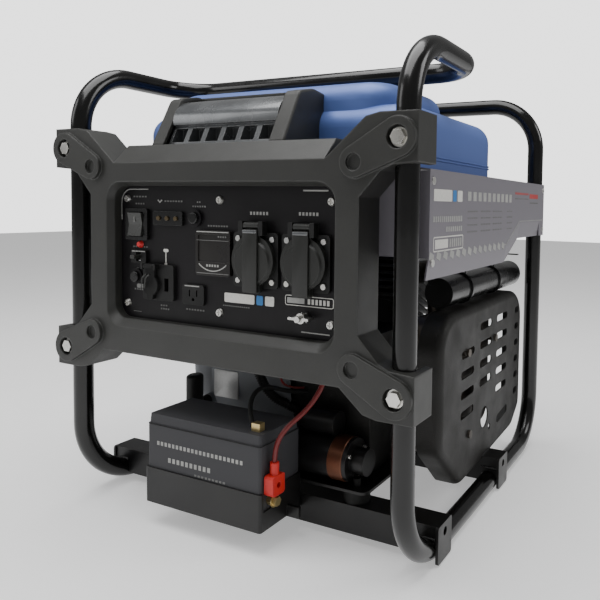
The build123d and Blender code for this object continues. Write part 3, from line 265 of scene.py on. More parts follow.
class Shop:
    """Every finish that the generator is made with."""

    TUBE = Finish("gloss_black_enamel", (0.0018, 0.0018, 0.0016), (0.0035, 0.0033, 0.003), Grain.ENAMEL,
                  (0.14, 0.28), coat=0.25, shine=0.35, edge_wear_and_highlight=(0.03, 0.028, 0.025), edge_wear_and_highlight_width=0.0006)
    SHEET = Finish("satin_black_sheet", (0.0035, 0.0035, 0.004), (0.007, 0.0065, 0.006), Grain.ENAMEL,
                   (0.28, 0.46), edge_wear_and_highlight=(0.04, 0.037, 0.034), shine=0.4)
    ZINC = Finish("zinc_plate", (0.6, 0.6, 0.59), (0.72, 0.7, 0.64), Grain.BRUSHED, (0.2, 0.4),
                  metal=1.0, edge_wear_and_highlight=(0.85, 0.85, 0.82))
    RUBBER = Finish("black_rubber", (0.006, 0.006, 0.006), (0.011, 0.011, 0.01), Grain.RUBBER,
                    (0.6, 0.85), shine=0.3)
    RED_RUBBER = Finish("red_boot", (0.62, 0.022, 0.014), (0.5, 0.014, 0.011), Grain.RUBBER,
                        (0.35, 0.5), round_edge=0.0012)
    RED_WIRE = Finish("red_insulation", (0.17, 0.007, 0.007), (0.11, 0.004, 0.004), Grain.RUBBER,
                      (0.32, 0.46))
    CASE = Finish("battery_case", (0.006, 0.006, 0.0052), (0.009, 0.009, 0.008), Grain.MOULDED,
                  (0.26, 0.4), edge_wear_and_highlight=(0.035, 0.035, 0.033), round_edge=0.0012)
    # The moulding's pale edge colour is mostly painted highlight on rims and pads that catch light,
    # partly wear.
    BEZEL = Finish("olive_grey_moulding", (0.0185, 0.0187, 0.0168), (0.0235, 0.0237, 0.0212),
                   Grain.MOULDED, (0.42, 0.54), edge_wear_and_highlight=(0.1, 0.1, 0.095), edge_wear_and_highlight_width=0.0018,
                   round_edge=0.0024)
    PANEL = Finish("panel_plate", (0.0042, 0.0036, 0.0042), (0.0065, 0.0054, 0.0066), Grain.PRINTED,
                   (0.36, 0.5), shine=0.25)
    GLOSS_BLACK = Finish("gloss_black_moulding", (0.005, 0.005, 0.005), (0.008, 0.008, 0.008),
                         Grain.PRINTED, (0.18, 0.32), edge_wear_and_highlight=(0.03, 0.03, 0.03), shine=0.4)
    LID = Finish("socket_lid_moulding", (0.0135, 0.014, 0.0125), (0.0175, 0.018, 0.016),
                 Grain.MOULDED, (0.34, 0.46), edge_wear_and_highlight=(0.05, 0.05, 0.047), shine=0.4)
    ROCKER = Finish("rocker_cap", (0.02, 0.021, 0.019), (0.03, 0.031, 0.028), Grain.PRINTED,
                    (0.22, 0.34), edge_wear_and_highlight=(0.07, 0.07, 0.066))
    METER = Finish("meter_face", (0.011, 0.0095, 0.009), (0.014, 0.0125, 0.0115), Grain.PRINTED,
                   (0.24, 0.36), edge_wear_and_highlight=(0.04, 0.036, 0.034), shine=0.35)
    MATT_BLACK = Finish("matt_black_moulding", (0.0055, 0.0055, 0.0055), (0.0095, 0.0095, 0.009),
                        Grain.MOULDED, (0.44, 0.62), edge_wear_and_highlight=(0.032, 0.032, 0.03), shine=0.32)
    RED_LENS = Finish("red_lens", (0.75, 0.03, 0.02), (0.85, 0.07, 0.05), Grain.PRINTED, (0.12, 0.2),
                      coat=0.6, glow=0.5)
    AMBER_LENS = Finish("amber_lens", (0.05, 0.034, 0.012), (0.09, 0.06, 0.02), Grain.PRINTED,
                        (0.1, 0.2), coat=0.7)
    BRASS = Finish("brass", (0.52, 0.38, 0.16), (0.62, 0.47, 0.22), Grain.BRUSHED, (0.26, 0.42),
                   metal=1.0, edge_wear_and_highlight=(0.8, 0.65, 0.35))
    SILVER = Finish("silver_vent", (0.1, 0.105, 0.11), (0.15, 0.155, 0.16), Grain.PRINTED,
                    (0.2, 0.32), metal=0.6, coat=0.4, edge_wear_and_highlight=(0.4, 0.4, 0.4))
    TANK = Finish("tank_blue", (0.0012, 0.0035, 0.075), (0.002, 0.005, 0.095), Grain.ENAMEL,
                  (0.1, 0.18), coat=0.7, round_edge=0.001)
    SIDE = Finish("grey_sheet", (0.031, 0.029, 0.035), (0.038, 0.035, 0.042), Grain.ENAMEL,
                  (0.34, 0.46), coat=0.1, edge_wear_and_highlight=(0.12, 0.12, 0.12))
    CAST = Finish("cast_aluminium", (0.16, 0.157, 0.147), (0.26, 0.25, 0.235), Grain.CAST,
                  (0.42, 0.62), metal=0.85, edge_wear_and_highlight=(0.6, 0.6, 0.58))
    DARK_CAST = Finish("dark_casting", (0.014, 0.0135, 0.0125), (0.026, 0.025, 0.023), Grain.CAST,
                       (0.45, 0.65), metal=0.4, edge_wear_and_highlight=(0.14, 0.14, 0.135), shine=0.35)
    STEEL = Finish("ground_steel", (0.42, 0.42, 0.42), (0.5, 0.49, 0.48), Grain.BRUSHED, (0.2, 0.36),
                   metal=1.0, edge_wear_and_highlight=(0.7, 0.7, 0.7))
    IRON = Finish("cast_iron", (0.07, 0.068, 0.066), (0.11, 0.105, 0.1), Grain.CAST, (0.5, 0.7),
                  metal=0.7, edge_wear_and_highlight=(0.3, 0.3, 0.3))
    SHROUD = Finish("shroud_grey", (0.012, 0.0135, 0.013), (0.018, 0.02, 0.019), Grain.MOULDED,
                    (0.4, 0.56), edge_wear_and_highlight=(0.07, 0.07, 0.07), shine=0.4)
    COPPER = Finish("copper_band", (0.2, 0.075, 0.04), (0.12, 0.05, 0.03), Grain.BRUSHED, (0.34, 0.5),
                    metal=0.8, edge_wear_and_highlight=(0.4, 0.2, 0.12))
    EXHAUST = Finish("heat_dulled_steel", (0.07, 0.062, 0.054), (0.11, 0.09, 0.07), Grain.BRUSHED,
                     (0.4, 0.6), metal=0.8, edge_wear_and_highlight=(0.4, 0.38, 0.35))
    SHIELD = Finish("shield_heat_paint", (0.0085, 0.008, 0.007), (0.0125, 0.0115, 0.0098), Grain.CAST,
                    (0.46, 0.64), edge_wear_and_highlight=(0.05, 0.047, 0.043), round_edge=0.0012, shine=0.35)
    PRINT = Finish("panel_print", (0.3, 0.3, 0.29), (0.38, 0.38, 0.36), Grain.PRINTED, (0.45, 0.6))
    FAINT_PRINT = Finish("faint_print", (0.12, 0.12, 0.115), (0.17, 0.17, 0.165), Grain.PRINTED,
                         (0.45, 0.6))
    PALE_PRINT = Finish("pale_print", (0.62, 0.61, 0.57), (0.7, 0.69, 0.65), Grain.PRINTED,
                        (0.45, 0.6))
    BLUE_PRINT = Finish("blue_print", (0.02, 0.16, 0.42), (0.03, 0.19, 0.48), Grain.PRINTED,
                        (0.4, 0.5))
    LABEL = Finish("label_plate", (0.36, 0.36, 0.36), (0.44, 0.44, 0.43), Grain.PRINTED, (0.3, 0.42),
                   metal=0.3)
    RED_PRINT = Finish("red_print", (0.4, 0.03, 0.03), (0.48, 0.05, 0.04), Grain.PRINTED, (0.4, 0.5))
    TAN = Finish("tan_connector", (0.42, 0.3, 0.22), (0.5, 0.37, 0.28), Grain.PRINTED, (0.4, 0.55))
    TIE = Finish("nylon_tie", (0.5, 0.47, 0.45), (0.58, 0.56, 0.53), Grain.PRINTED, (0.35, 0.5))
    FLOOR = Finish("studio_floor", (0.8, 0.8, 0.8), (0.82, 0.82, 0.82), Grain.PRINTED, (0.7, 0.85),
                   round_edge=0.0001, glow=0.5)


def new_object(name: str, mesh: bpy.types.Mesh, finish: Optional[Finish]) -> bpy.types.Object:
    """Links a mesh as an object at the origin with one finish.

    Args:
        name: The piece's name.
        mesh: Its mesh, already in place.
        finish: Its finish, or None when the mesh has materials already.

    Returns:
        The new object.
    """
    piece = bpy.data.objects.new(name, mesh)
    bpy.context.scene.collection.objects.link(piece)
    if finish is not None:
        mesh.materials.clear()
        mesh.materials.append(finish.material())
    return piece


def soften(piece: bpy.types.Object, width: float, segments: int = 2, angle: float = 35.0) -> None:
    """Rounds a piece's edges with a bevel and applies it to the mesh."""
    bevel = piece.modifiers.new("edge", "BEVEL")
    bevel.width = width
    bevel.segments = segments
    bevel.limit_method = "ANGLE"
    bevel.angle_limit = math.radians(angle)
    settle(piece)


def settle(piece: bpy.types.Object) -> None:
    """Turns a piece's modifiers into plain mesh and smooths its shading by angle."""
    graph = bpy.context.evaluated_depsgraph_get()
    mesh = bpy.data.meshes.new_from_object(piece.evaluated_get(graph))
    piece.modifiers.clear()
    old = piece.data
    piece.data = mesh
    bpy.data.meshes.remove(old)
    shade(mesh)


def shade(mesh: bpy.types.Mesh, angle: float = 40.0) -> None:
    """Smooths faces and keeps edges sharper than an angle."""
    for face in mesh.polygons:
        face.use_smooth = True
    mesh.set_sharp_from_angle(angle=math.radians(angle))


def ride(piece: bpy.types.Object, body: str = "frame") -> bpy.types.Object:
    """Makes a piece move with a body and reports it."""
    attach(piece, body)
    LOG.info("%s rides on %s", piece.name, body)
    return piece


def closed(name: str, shape: bmesh.types.BMesh) -> bpy.types.Mesh:
    """Turns a closed shape's faces outwards and returns it as a mesh."""
    bmesh.ops.recalc_face_normals(shape, faces=shape.faces)
    mesh = bpy.data.meshes.new(name)
    shape.to_mesh(mesh)
    shape.free()
    return mesh


def in_metres(points: Sequence[Point]) -> List[Point]:
    """Returns points given in millimetres in metres."""
    return [tuple(v * MM for v in point) for point in points]


def prism(name: str, outline: Sequence[Tuple[float, float]], plane: Matrix, depth: float,
          finish: Finish, edge: float = 0.0) -> bpy.types.Object:
    """Makes a solid from a closed outline drawn on a plane.

    Args:
        name: The piece's name.
        outline: Points across and up on the plane, in metres.
        plane: Matrix whose columns are across, up and out, with its place.
        depth: How far it reaches out of the plane.
        finish: Its finish.
        edge: Edge rounding in metres.

    Returns:
        The solid.
    """
    shape = bmesh.new()
    low = [shape.verts.new(plane @ Vector((x, y, 0.0))) for x, y in outline]
    high = [shape.verts.new(plane @ Vector((x, y, depth))) for x, y in outline]
    shape.faces.new(low[::-1])
    shape.faces.new(high)
    count = len(outline)
    for i in range(count):
        j = (i + 1) % count
        shape.faces.new((low[i], low[j], high[j], high[i]))
    piece = new_object(name, closed(name, shape), finish)
    if edge > 0.0:
        soften(piece, edge)
    return piece


def front_plane(y: float) -> Matrix:
    """Plane seen from the front: across is +X, up is +Z, out is towards the viewer."""
    return Matrix(((1, 0, 0, 0), (0, 0, -1, y), (0, 1, 0, 0), (0, 0, 0, 1)))


def left_plane(x: float) -> Matrix:
    """Plane seen from the left: across is -Y, up is +Z, out is -X."""
    return Matrix(((0, 0, -1, x), (-1, 0, 0, 0), (0, 1, 0, 0), (0, 0, 0, 1)))


def right_plane(x: float) -> Matrix:
    """Plane seen from the right: across is +Y, up is +Z, out is +X."""
    return Matrix(((0, 0, 1, x), (1, 0, 0, 0), (0, 1, 0, 0), (0, 0, 0, 1)))


def rounded(cx: float, cy: float, width: float, height: float, radius: float,
            steps: int = 6) -> List[Tuple[float, float]]:
    """Returns the outline of a rectangle with round corners.

    Args:
        cx: Centre across.
        cy: Centre up.
        width: Width.
        height: Height.
        radius: Corner radius.
        steps: Points on each corner less one.

    Returns:
        The outline's points, anticlockwise.
    """
    points: List[Tuple[float, float]] = []
    for k, (sx, sy) in enumerate(((1, -1), (1, 1), (-1, 1), (-1, -1))):
        ox, oy = cx + sx * (width / 2 - radius), cy + sy * (height / 2 - radius)
        for i in range(steps + 1):
            a = math.radians(-90 + 90 * k + 90 * i / steps)
            points.append((ox + radius * math.cos(a), oy + radius * math.sin(a)))
    return points


def lathe(name: str, profile: Sequence[Tuple[float, float]], origin: Point, axis: Point,
          finish: Finish, steps: int = 32) -> bpy.types.Object:
    """Turns a profile of radius and height round an axis into a closed solid.

    Args:
        name: The piece's name.
        profile: Radius and height pairs from one end to the other.
        origin: Where height is 0.
        axis: Direction of height.
        finish: Its finish.
        steps: Facets round it.

    Returns:
        The turned piece.
    """
    turn = Vector((0, 0, 1)).rotation_difference(Vector(axis)).to_matrix().to_4x4()
    place = Matrix.Translation(origin) @ turn
    shape = bmesh.new()
    rings = []
    for radius, height in profile:
        rings.append([shape.verts.new(place @ Vector((radius * math.cos(2 * math.pi * i / steps),
                                                      radius * math.sin(2 * math.pi * i / steps),
                                                      height))) for i in range(steps)])
    for low, high in zip(rings, rings[1:]):
        for i in range(steps):
            j = (i + 1) % steps
            shape.faces.new((low[i], low[j], high[j], high[i]))
    shape.faces.new(rings[0][::-1])
    shape.faces.new(rings[-1])
    mesh = closed(name, shape)
    shade(mesh)
    return new_object(name, mesh, finish)


def route(points: Sequence[Point]) -> bpy.types.Object:
    """Returns a smooth line object with the points as its control points."""
    data = bpy.data.curves.new("route", "CURVE")
    data.dimensions = "3D"
    line = data.splines.new("NURBS")
    line.points.add(len(points) - 1)
    for spot, point in zip(line.points, points):
        spot.co = (*point, 1.0)
    line.order_u = 3
    line.use_endpoint_u = True
    line.resolution_u = 10
    holder = bpy.data.objects.new("route", data)
    bpy.context.scene.collection.objects.link(holder)
    return holder


def followed(points: Sequence[Point]) -> List[Point]:
    """Returns the points that a wire along these control points follows."""
    holder = route(points)
    graph = bpy.context.evaluated_depsgraph_get()
    line = bpy.data.meshes.new_from_object(holder.evaluated_get(graph))
    spots = [tuple(v.co) for v in line.vertices]
    bpy.data.objects.remove(holder)
    bpy.data.meshes.remove(line)
    return spots


def wire(name: str, points: Sequence[Point], diameter: float, finish: Finish) -> bpy.types.Object:
    """Makes a round wire, rope or pipe along a smooth line.

    Args:
        name: The piece's name.
        points: Control points in metres.
        diameter: Its thickness.
        finish: Its finish.

    Returns:
        The wire as a mesh.
    """
    holder = route(points)
    holder.data.bevel_depth = diameter / 2
    holder.data.bevel_resolution = 5
    holder.data.use_fill_caps = True
    graph = bpy.context.evaluated_depsgraph_get()
    mesh = bpy.data.meshes.new_from_object(holder.evaluated_get(graph))
    bpy.data.objects.remove(holder)
    piece = new_object(name, mesh, finish)
    shade(mesh, 60.0)
    return piece


@dataclass
class Repeat:
    """A small shape set out many times by a node tree.

    Args:
        name: The piece's name.
        finish: Its finish.
        layout: Line, ring or path.
        unit: The repeated shape.
        size: The unit's size in metres: width, depth and height, or diameter, diameter and length.
        count: How many.
        start: First place of a line, or the ring's centre.
        end: Last place of a line.
        axis: The ring's axis, or the direction a unit's height points along in a line.
        radius: The ring's radius.
        points: The path's control points.
        jitter: Greatest random turn of a unit, in radians.
    """

    name: str
    finish: Finish
    layout: Layout
    unit: Unit
    size: Point
    count: int
    start: Point = (0.0, 0.0, 0.0)
    end: Point = (0.0, 0.0, 0.0)
    axis: Point = (0.0, 0.0, 1.0)
    radius: float = 0.0
    points: Sequence[Point] = ()
    jitter: float = 0.0

    def build(self) -> bpy.types.Object:
        """Builds the tree, reads its result as a plain mesh and drops the tree.

        Returns:
            The repeated piece.
        """
        tree = bpy.data.node_groups.new(self.name, "GeometryNodeTree")
        sockets = self._sockets(tree)
        enter = add(tree, "NodeGroupInput")
        leave = add(tree, "NodeGroupOutput")
        places, turn = self._places(tree, enter)
        scatter = add(tree, "GeometryNodeInstanceOnPoints", {
            "Points": places, "Instance": self._unit(tree, enter),
            "Rotation": self._jittered(tree, enter, turn)})
        move = add(tree, "GeometryNodeTransform", {"Geometry": scatter.outputs["Instances"]})
        if self.layout is Layout.RING:
            feed(tree, move, {"Translation": enter.outputs["Start"], "Rotation": enter.outputs["Turn"]})
        real = add(tree, "GeometryNodeRealizeInstances", {"Geometry": move.outputs["Geometry"]})
        coat = add(tree, "GeometryNodeSetMaterial", {"Geometry": real.outputs["Geometry"],
                                                     "Material": self.finish.material()})
        feed(tree, leave, {"Geometry": coat.outputs["Geometry"]})
        return self._evaluate(tree, sockets)

    def _sockets(self, tree: bpy.types.NodeTree) -> Dict[str, object]:
        """Adds the tree's named inputs and returns the value of each."""
        turn = Vector((0, 0, 1)).rotation_difference(Vector(self.axis)).to_euler()
        tree.interface.new_socket("Geometry", in_out="INPUT", socket_type="NodeSocketGeometry")
        tree.interface.new_socket("Geometry", in_out="OUTPUT", socket_type="NodeSocketGeometry")
        values: Dict[str, Tuple[str, object]] = {
            "Start": ("NodeSocketVector", self.start), "End": ("NodeSocketVector", self.end),
            "Count": ("NodeSocketInt", self.count), "Unit Size": ("NodeSocketVector", self.size),
            "Radius": ("NodeSocketFloat", self.radius), "Turn": ("NodeSocketVector", tuple(turn)),
            "Jitter": ("NodeSocketFloat", self.jitter), "Seed": ("NodeSocketInt", SEED)}
        for label, (kind, _) in values.items():
            tree.interface.new_socket(label, in_out="INPUT", socket_type=kind)
        return {label: value for label, (_, value) in values.items()}

    def _places(self, tree: bpy.types.NodeTree, enter: bpy.types.Node
                ) -> Tuple[bpy.types.NodeSocket, bpy.types.NodeSocket]:
        """Returns the points socket of the layout and the turn socket at each point."""
        if self.layout is Layout.LINE:
            line = add(tree, "GeometryNodeMeshLine", mode="END_POINTS")
            feed(tree, line, {"Count": enter.outputs["Count"], "Start Location": enter.outputs["Start"],
                              "Offset": enter.outputs["End"]})
            return line.outputs["Mesh"], enter.outputs["Turn"]
        if self.layout is Layout.RING:
            ring = add(tree, "GeometryNodeCurvePrimitiveCircle", {"Resolution": enter.outputs["Count"],
                                                                  "Radius": enter.outputs["Radius"]})
            dots = add(tree, "GeometryNodeCurveToPoints", {"Curve": ring.outputs["Curve"]},
                       mode="EVALUATED")
            place = add(tree, "GeometryNodeInputPosition").outputs["Position"]
            aim = add(tree, "FunctionNodeAlignRotationToVector", {"Vector": place}, axis="X")
            return dots.outputs["Points"], aim.outputs["Rotation"]
        dots = add(tree, "GeometryNodeCurveToPoints", {"Curve": enter.outputs["Geometry"],
                                                       "Count": enter.outputs["Count"]}, mode="COUNT")
        return dots.outputs["Points"], dots.outputs["Rotation"]

    def _jittered(self, tree: bpy.types.NodeTree, enter: bpy.types.Node,
                  turn: bpy.types.NodeSocket) -> bpy.types.NodeSocket:
        """Adds a small random turn about the unit's height to a turn socket."""
        if self.jitter == 0.0:
            return turn
        most = enter.outputs["Jitter"]
        least = add(tree, "ShaderNodeMath", {0: most, 1: -1.0}, operation="MULTIPLY")
        chance = add(tree, "FunctionNodeRandomValue", data_type="FLOAT")
        feed(tree, chance, {2: least.outputs["Value"], 3: most, "Seed": enter.outputs["Seed"]})
        about = add(tree, "ShaderNodeCombineXYZ", {"Z": chance.outputs[1]})
        spun = add(tree, "FunctionNodeRotateRotation", {"Rotation": turn,
                                                        "Rotate By": about.outputs["Vector"]},
                   rotation_space="LOCAL")
        return spun.outputs["Rotation"]

    def _unit(self, tree: bpy.types.NodeTree, enter: bpy.types.Node) -> bpy.types.NodeSocket:
        """Returns the geometry socket of the repeated shape."""
        size = enter.outputs["Unit Size"]
        parts = add(tree, "ShaderNodeSeparateXYZ", {"Vector": size})
        radius, thick = (add(tree, "ShaderNodeMath", {0: parts.outputs[side], 1: 0.5},
                             operation="MULTIPLY").outputs["Value"] for side in ("X", "Z"))
        if self.unit is Unit.BLOCK:
            return add(tree, "GeometryNodeMeshCube", {"Size": size}).outputs["Mesh"]
        if self.unit is Unit.ROD:
            return add(tree, "GeometryNodeMeshCylinder", {
                "Vertices": 16, "Radius": radius, "Depth": parts.outputs["Z"]}).outputs["Mesh"]
        if self.unit is Unit.BEAD:
            bead = add(tree, "GeometryNodeMeshIcoSphere", {"Subdivisions": 2, "Radius": 0.5})
            return add(tree, "GeometryNodeTransform", {"Geometry": bead.outputs["Mesh"],
                                                       "Scale": size}).outputs["Geometry"]
        loop = add(tree, "GeometryNodeCurvePrimitiveCircle", {"Resolution": 20, "Radius": radius})
        section = add(tree, "GeometryNodeCurvePrimitiveCircle", {"Resolution": 8, "Radius": thick})
        return add(tree, "GeometryNodeCurveToMesh", {
            "Curve": loop.outputs["Curve"],
            "Profile Curve": section.outputs["Curve"]}).outputs["Mesh"]

    def _evaluate(self, tree: bpy.types.NodeTree, values: Dict[str, object]) -> bpy.types.Object:
        """Runs the tree on a holder object and returns its result as a plain mesh object."""
        if self.layout is Layout.PATH:
            holder = route(self.points)
        else:
            holder = new_object("holder", bpy.data.meshes.new("holder"), None)
        modifier = holder.modifiers.new("repeat", "NODES")
        modifier.node_group = tree
        for item in tree.interface.items_tree:
            if item.in_out == "INPUT" and item.name in values:
                value = values[item.name]
                modifier[item.identifier] = list(value) if isinstance(value, tuple) else value
        graph = bpy.context.evaluated_depsgraph_get()
        mesh = bpy.data.meshes.new_from_object(holder.evaluated_get(graph))
        bpy.data.objects.remove(holder)
        bpy.data.node_groups.remove(tree)
        shade(mesh, 45.0)
        piece = new_object(self.name, mesh, None)
        if not mesh.materials:
            mesh.materials.append(self.finish.material())
        return piece


class SubAssembly:
    """A group of pieces that is built and dressed together."""

    nodes: Dict[str, Finish] = {}

    def dress(self) -> None:
        """Gives each carried-over node of the group its finish."""
        for node, finish in self.nodes.items():
            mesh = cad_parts[node].data
            mesh.materials.clear()
            mesh.materials.append(finish.material())
            LOG.info("%s is finished in %s", node, finish.name)

    def build(self) -> None:
        """Makes the group's own pieces."""


@dataclass
class Studio(SubAssembly):
    """Floor, soft lights and the camera."""

    eye: Point = (0.4499, -0.7085, 0.3478)
    azimuth: float = 26.064
    elevation: float = 3.065
    roll: float = 0.95
    lens: float = 38.45
    shift: Tuple[float, float] = (-0.1725, -0.1008)
    room_light: float = 0.26
    backdrop_light: float = 3.0

    def build(self) -> None:
        """Makes the floor, the lights and the camera."""
        floor = prism("floor", [(-6, -6), (6, -6), (6, 6), (-6, 6)], Matrix.Translation((0, 0, -0.01)),
                      0.01, Shop.FLOOR)
        self._world()
        self._lamp("overhead", (-0.1, -0.3, 1.75), 1.5, 36.0)
        self._lamp("left_front", (-1.6, -1.2, 1.2), 0.9, 7.0)
        self._lamp("right_back", (1.7, 0.7, 1.35), 0.8, 9.0)
        self._camera()

    def _world(self) -> None:
        """Sets a dim pale room whose backdrop is bright where it is seen directly."""
        world = bpy.data.worlds.new("studio")
        bpy.context.scene.world = world
        world.use_nodes = True
        tree = world.node_tree
        room = tree.nodes["Background"]
        room.inputs["Color"].default_value = (1.0, 1.0, 1.0, 1.0)
        room.inputs["Strength"].default_value = self.room_light
        backdrop = tree.nodes.new("ShaderNodeBackground")
        backdrop.inputs["Strength"].default_value = self.backdrop_light
        seen = tree.nodes.new("ShaderNodeLightPath")
        mix = tree.nodes.new("ShaderNodeMixShader")
        tree.links.new(seen.outputs["Is Camera Ray"], mix.inputs["Fac"])
        tree.links.new(room.outputs["Background"], mix.inputs[1])
        tree.links.new(backdrop.outputs["Background"], mix.inputs[2])
        tree.links.new(mix.outputs["Shader"], tree.nodes["World Output"].inputs["Surface"])

    def _lamp(self, name: str, place: Point, size: float, power: float) -> None:
        """Makes a square soft light that faces the generator."""
        data = bpy.data.lights.new(name, "AREA")
        data.size = size
        data.energy = power
        lamp = bpy.data.objects.new(name, data)
        lamp.location = place
        aim = Vector((0.0, 0.0, 0.25)) - Vector(place)
        lamp.rotation_euler = aim.to_track_quat("-Z", "Y").to_euler()
        bpy.context.scene.collection.objects.link(lamp)

    def _camera(self) -> None:
        """Sets the camera at its eye, turned by azimuth, elevation and roll."""
        a, e, r = (math.radians(v) for v in (self.azimuth, self.elevation, self.roll))
        back = Vector((math.sin(a) * math.cos(e), -math.cos(a) * math.cos(e), math.sin(e)))
        right = Vector((math.cos(a), math.sin(a), 0.0))
        up = back.cross(right)
        right, up = (right * math.cos(r) + up * math.sin(r), up * math.cos(r) - right * math.sin(r))
        data = bpy.data.cameras.new("camera")
        data.sensor_width = 36.0
        data.lens = self.lens
        data.shift_x, data.shift_y = self.shift
        data.clip_start = 0.02
        camera = bpy.data.objects.new("camera", data)
        camera.matrix_world = Matrix(((right.x, up.x, back.x, self.eye[0]),
                                      (right.y, up.y, back.y, self.eye[1]),
                                      (right.z, up.z, back.z, self.eye[2]), (0, 0, 0, 1)))
        bpy.context.scene.collection.objects.link(camera)
        bpy.context.scene.camera = camera


@dataclass
class TubeFrame(SubAssembly):
    """Bent tube hoops, cross channels and engine mounts."""

    bead: float = 2.4 * MM
    nodes = {"front_hoop": Shop.TUBE, "rear_hoop": Shop.TUBE, "front_channel": Shop.SHEET,
             "rear_channel": Shop.SHEET, "engine_cradle": Shop.SHEET, "rubber_mounts": Shop.RUBBER,
             "corner_bolts": Shop.ZINC}

    def build(self) -> None:
        """Lays a weld where each channel meets the rails."""
        for name in ("front", "rear"):
            low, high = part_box(f"{name}_channel")
            for side in (-1, 1):
                rail_x = side * (high.x - 14 * MM)
                for k, y in enumerate((low.y + 2 * MM, high.y - 2 * MM)):
                    weld = Repeat(f"weld_{name}_{'l' if side < 0 else 'r'}{k}", Shop.TUBE, Layout.LINE,
                                  Unit.BEAD, (self.bead, 3.4 * MM, 3.4 * MM), 12,
                                  (rail_x - side * 9 * MM, y, high.z - 13 * MM),
                                  (rail_x - side * 9 * MM + 18 * MM * side, y, high.z - 13 * MM),
                                  jitter=0.4)
                    ride(weld.build())


@dataclass
class StarterBattery(SubAssembly):
    """Battery, tray, terminals and its two leads."""

    lead: float = 5 * MM
    red_length: float = 130 * MM
    black_length: float = 119 * MM
    nodes = {"battery": Shop.CASE, "battery_tray": Shop.SHEET, "battery_lugs": Shop.BRASS,
             "positive_boot": Shop.RED_RUBBER, "positive_lead": Shop.RED_WIRE,
             "negative_lead": Shop.RUBBER}

    def build(self) -> None:
        """Makes the leads along their routes, the case's lid seam and its plain print."""
        red = [(67.0, -206.55, 93.2), (67.0, -206.0, 108.0), (75.0, -201.0, 126.0),
               (91.0, -186.0, 143.0), (101.0, -176.0, 163.0), (104.0, -166.0, 186.0),
               (104.0, -160.0, 204.0)]
        black = [(39.7, -206.55, 125.0), (31.0, -200.0, 131.0), (20.0, -186.0, 142.0),
                 (14.0, -168.0, 148.0), (15.0, -150.0, 147.0), (24.0, -134.0, 140.0),
                 (33.0, -122.0, 136.0), (40.0, -110.4, 134.0)]
        for name, spots, finish, length in (("positive_lead", red, Shop.RED_WIRE, self.red_length),
                                            ("negative_lead", black, Shop.RUBBER, self.black_length)):
            points = in_metres(spots)
            piece = wire(f"{name}_cord", points, self.lead, finish)
            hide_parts(name)
            ride(piece)
            followed(points)
        low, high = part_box("battery")
        seam = prism("battery_lid_seam", rounded((low.x + high.x) / 2, (low.y + high.y) / 2,
                                                 high.x - low.x + 0.5 * MM, high.y - low.y + 0.5 * MM,
                                                 3 * MM),
                     Matrix.Translation((0, 0, high.z - 11 * MM)), 0.8 * MM, Shop.RUBBER)
        ride(seam)
        front = Print(plane=front_plane, face=low.y)
        middle = (low.x + high.x) / 2 / MM
        front.dashes("battery_title_row", middle - 60, middle + 52, high.z / MM - 30, 4.2, 22, Shop.PRINT)
        front.dashes("battery_type_row", middle - 44, middle + 10, high.z / MM - 46, 5.0, 10, Shop.PRINT)
        front.dashes("battery_small_row", middle - 8, middle + 30, high.z / MM - 55, 2.2, 9,
                     Shop.FAINT_PRINT)
        for k in range(3):
            front.stroke(f"battery_symbol_{k}", arc(middle + 18 * k, high.z / MM - 74, 3, 200, 520 - 90),
                         0.8, Shop.FAINT_PRINT)


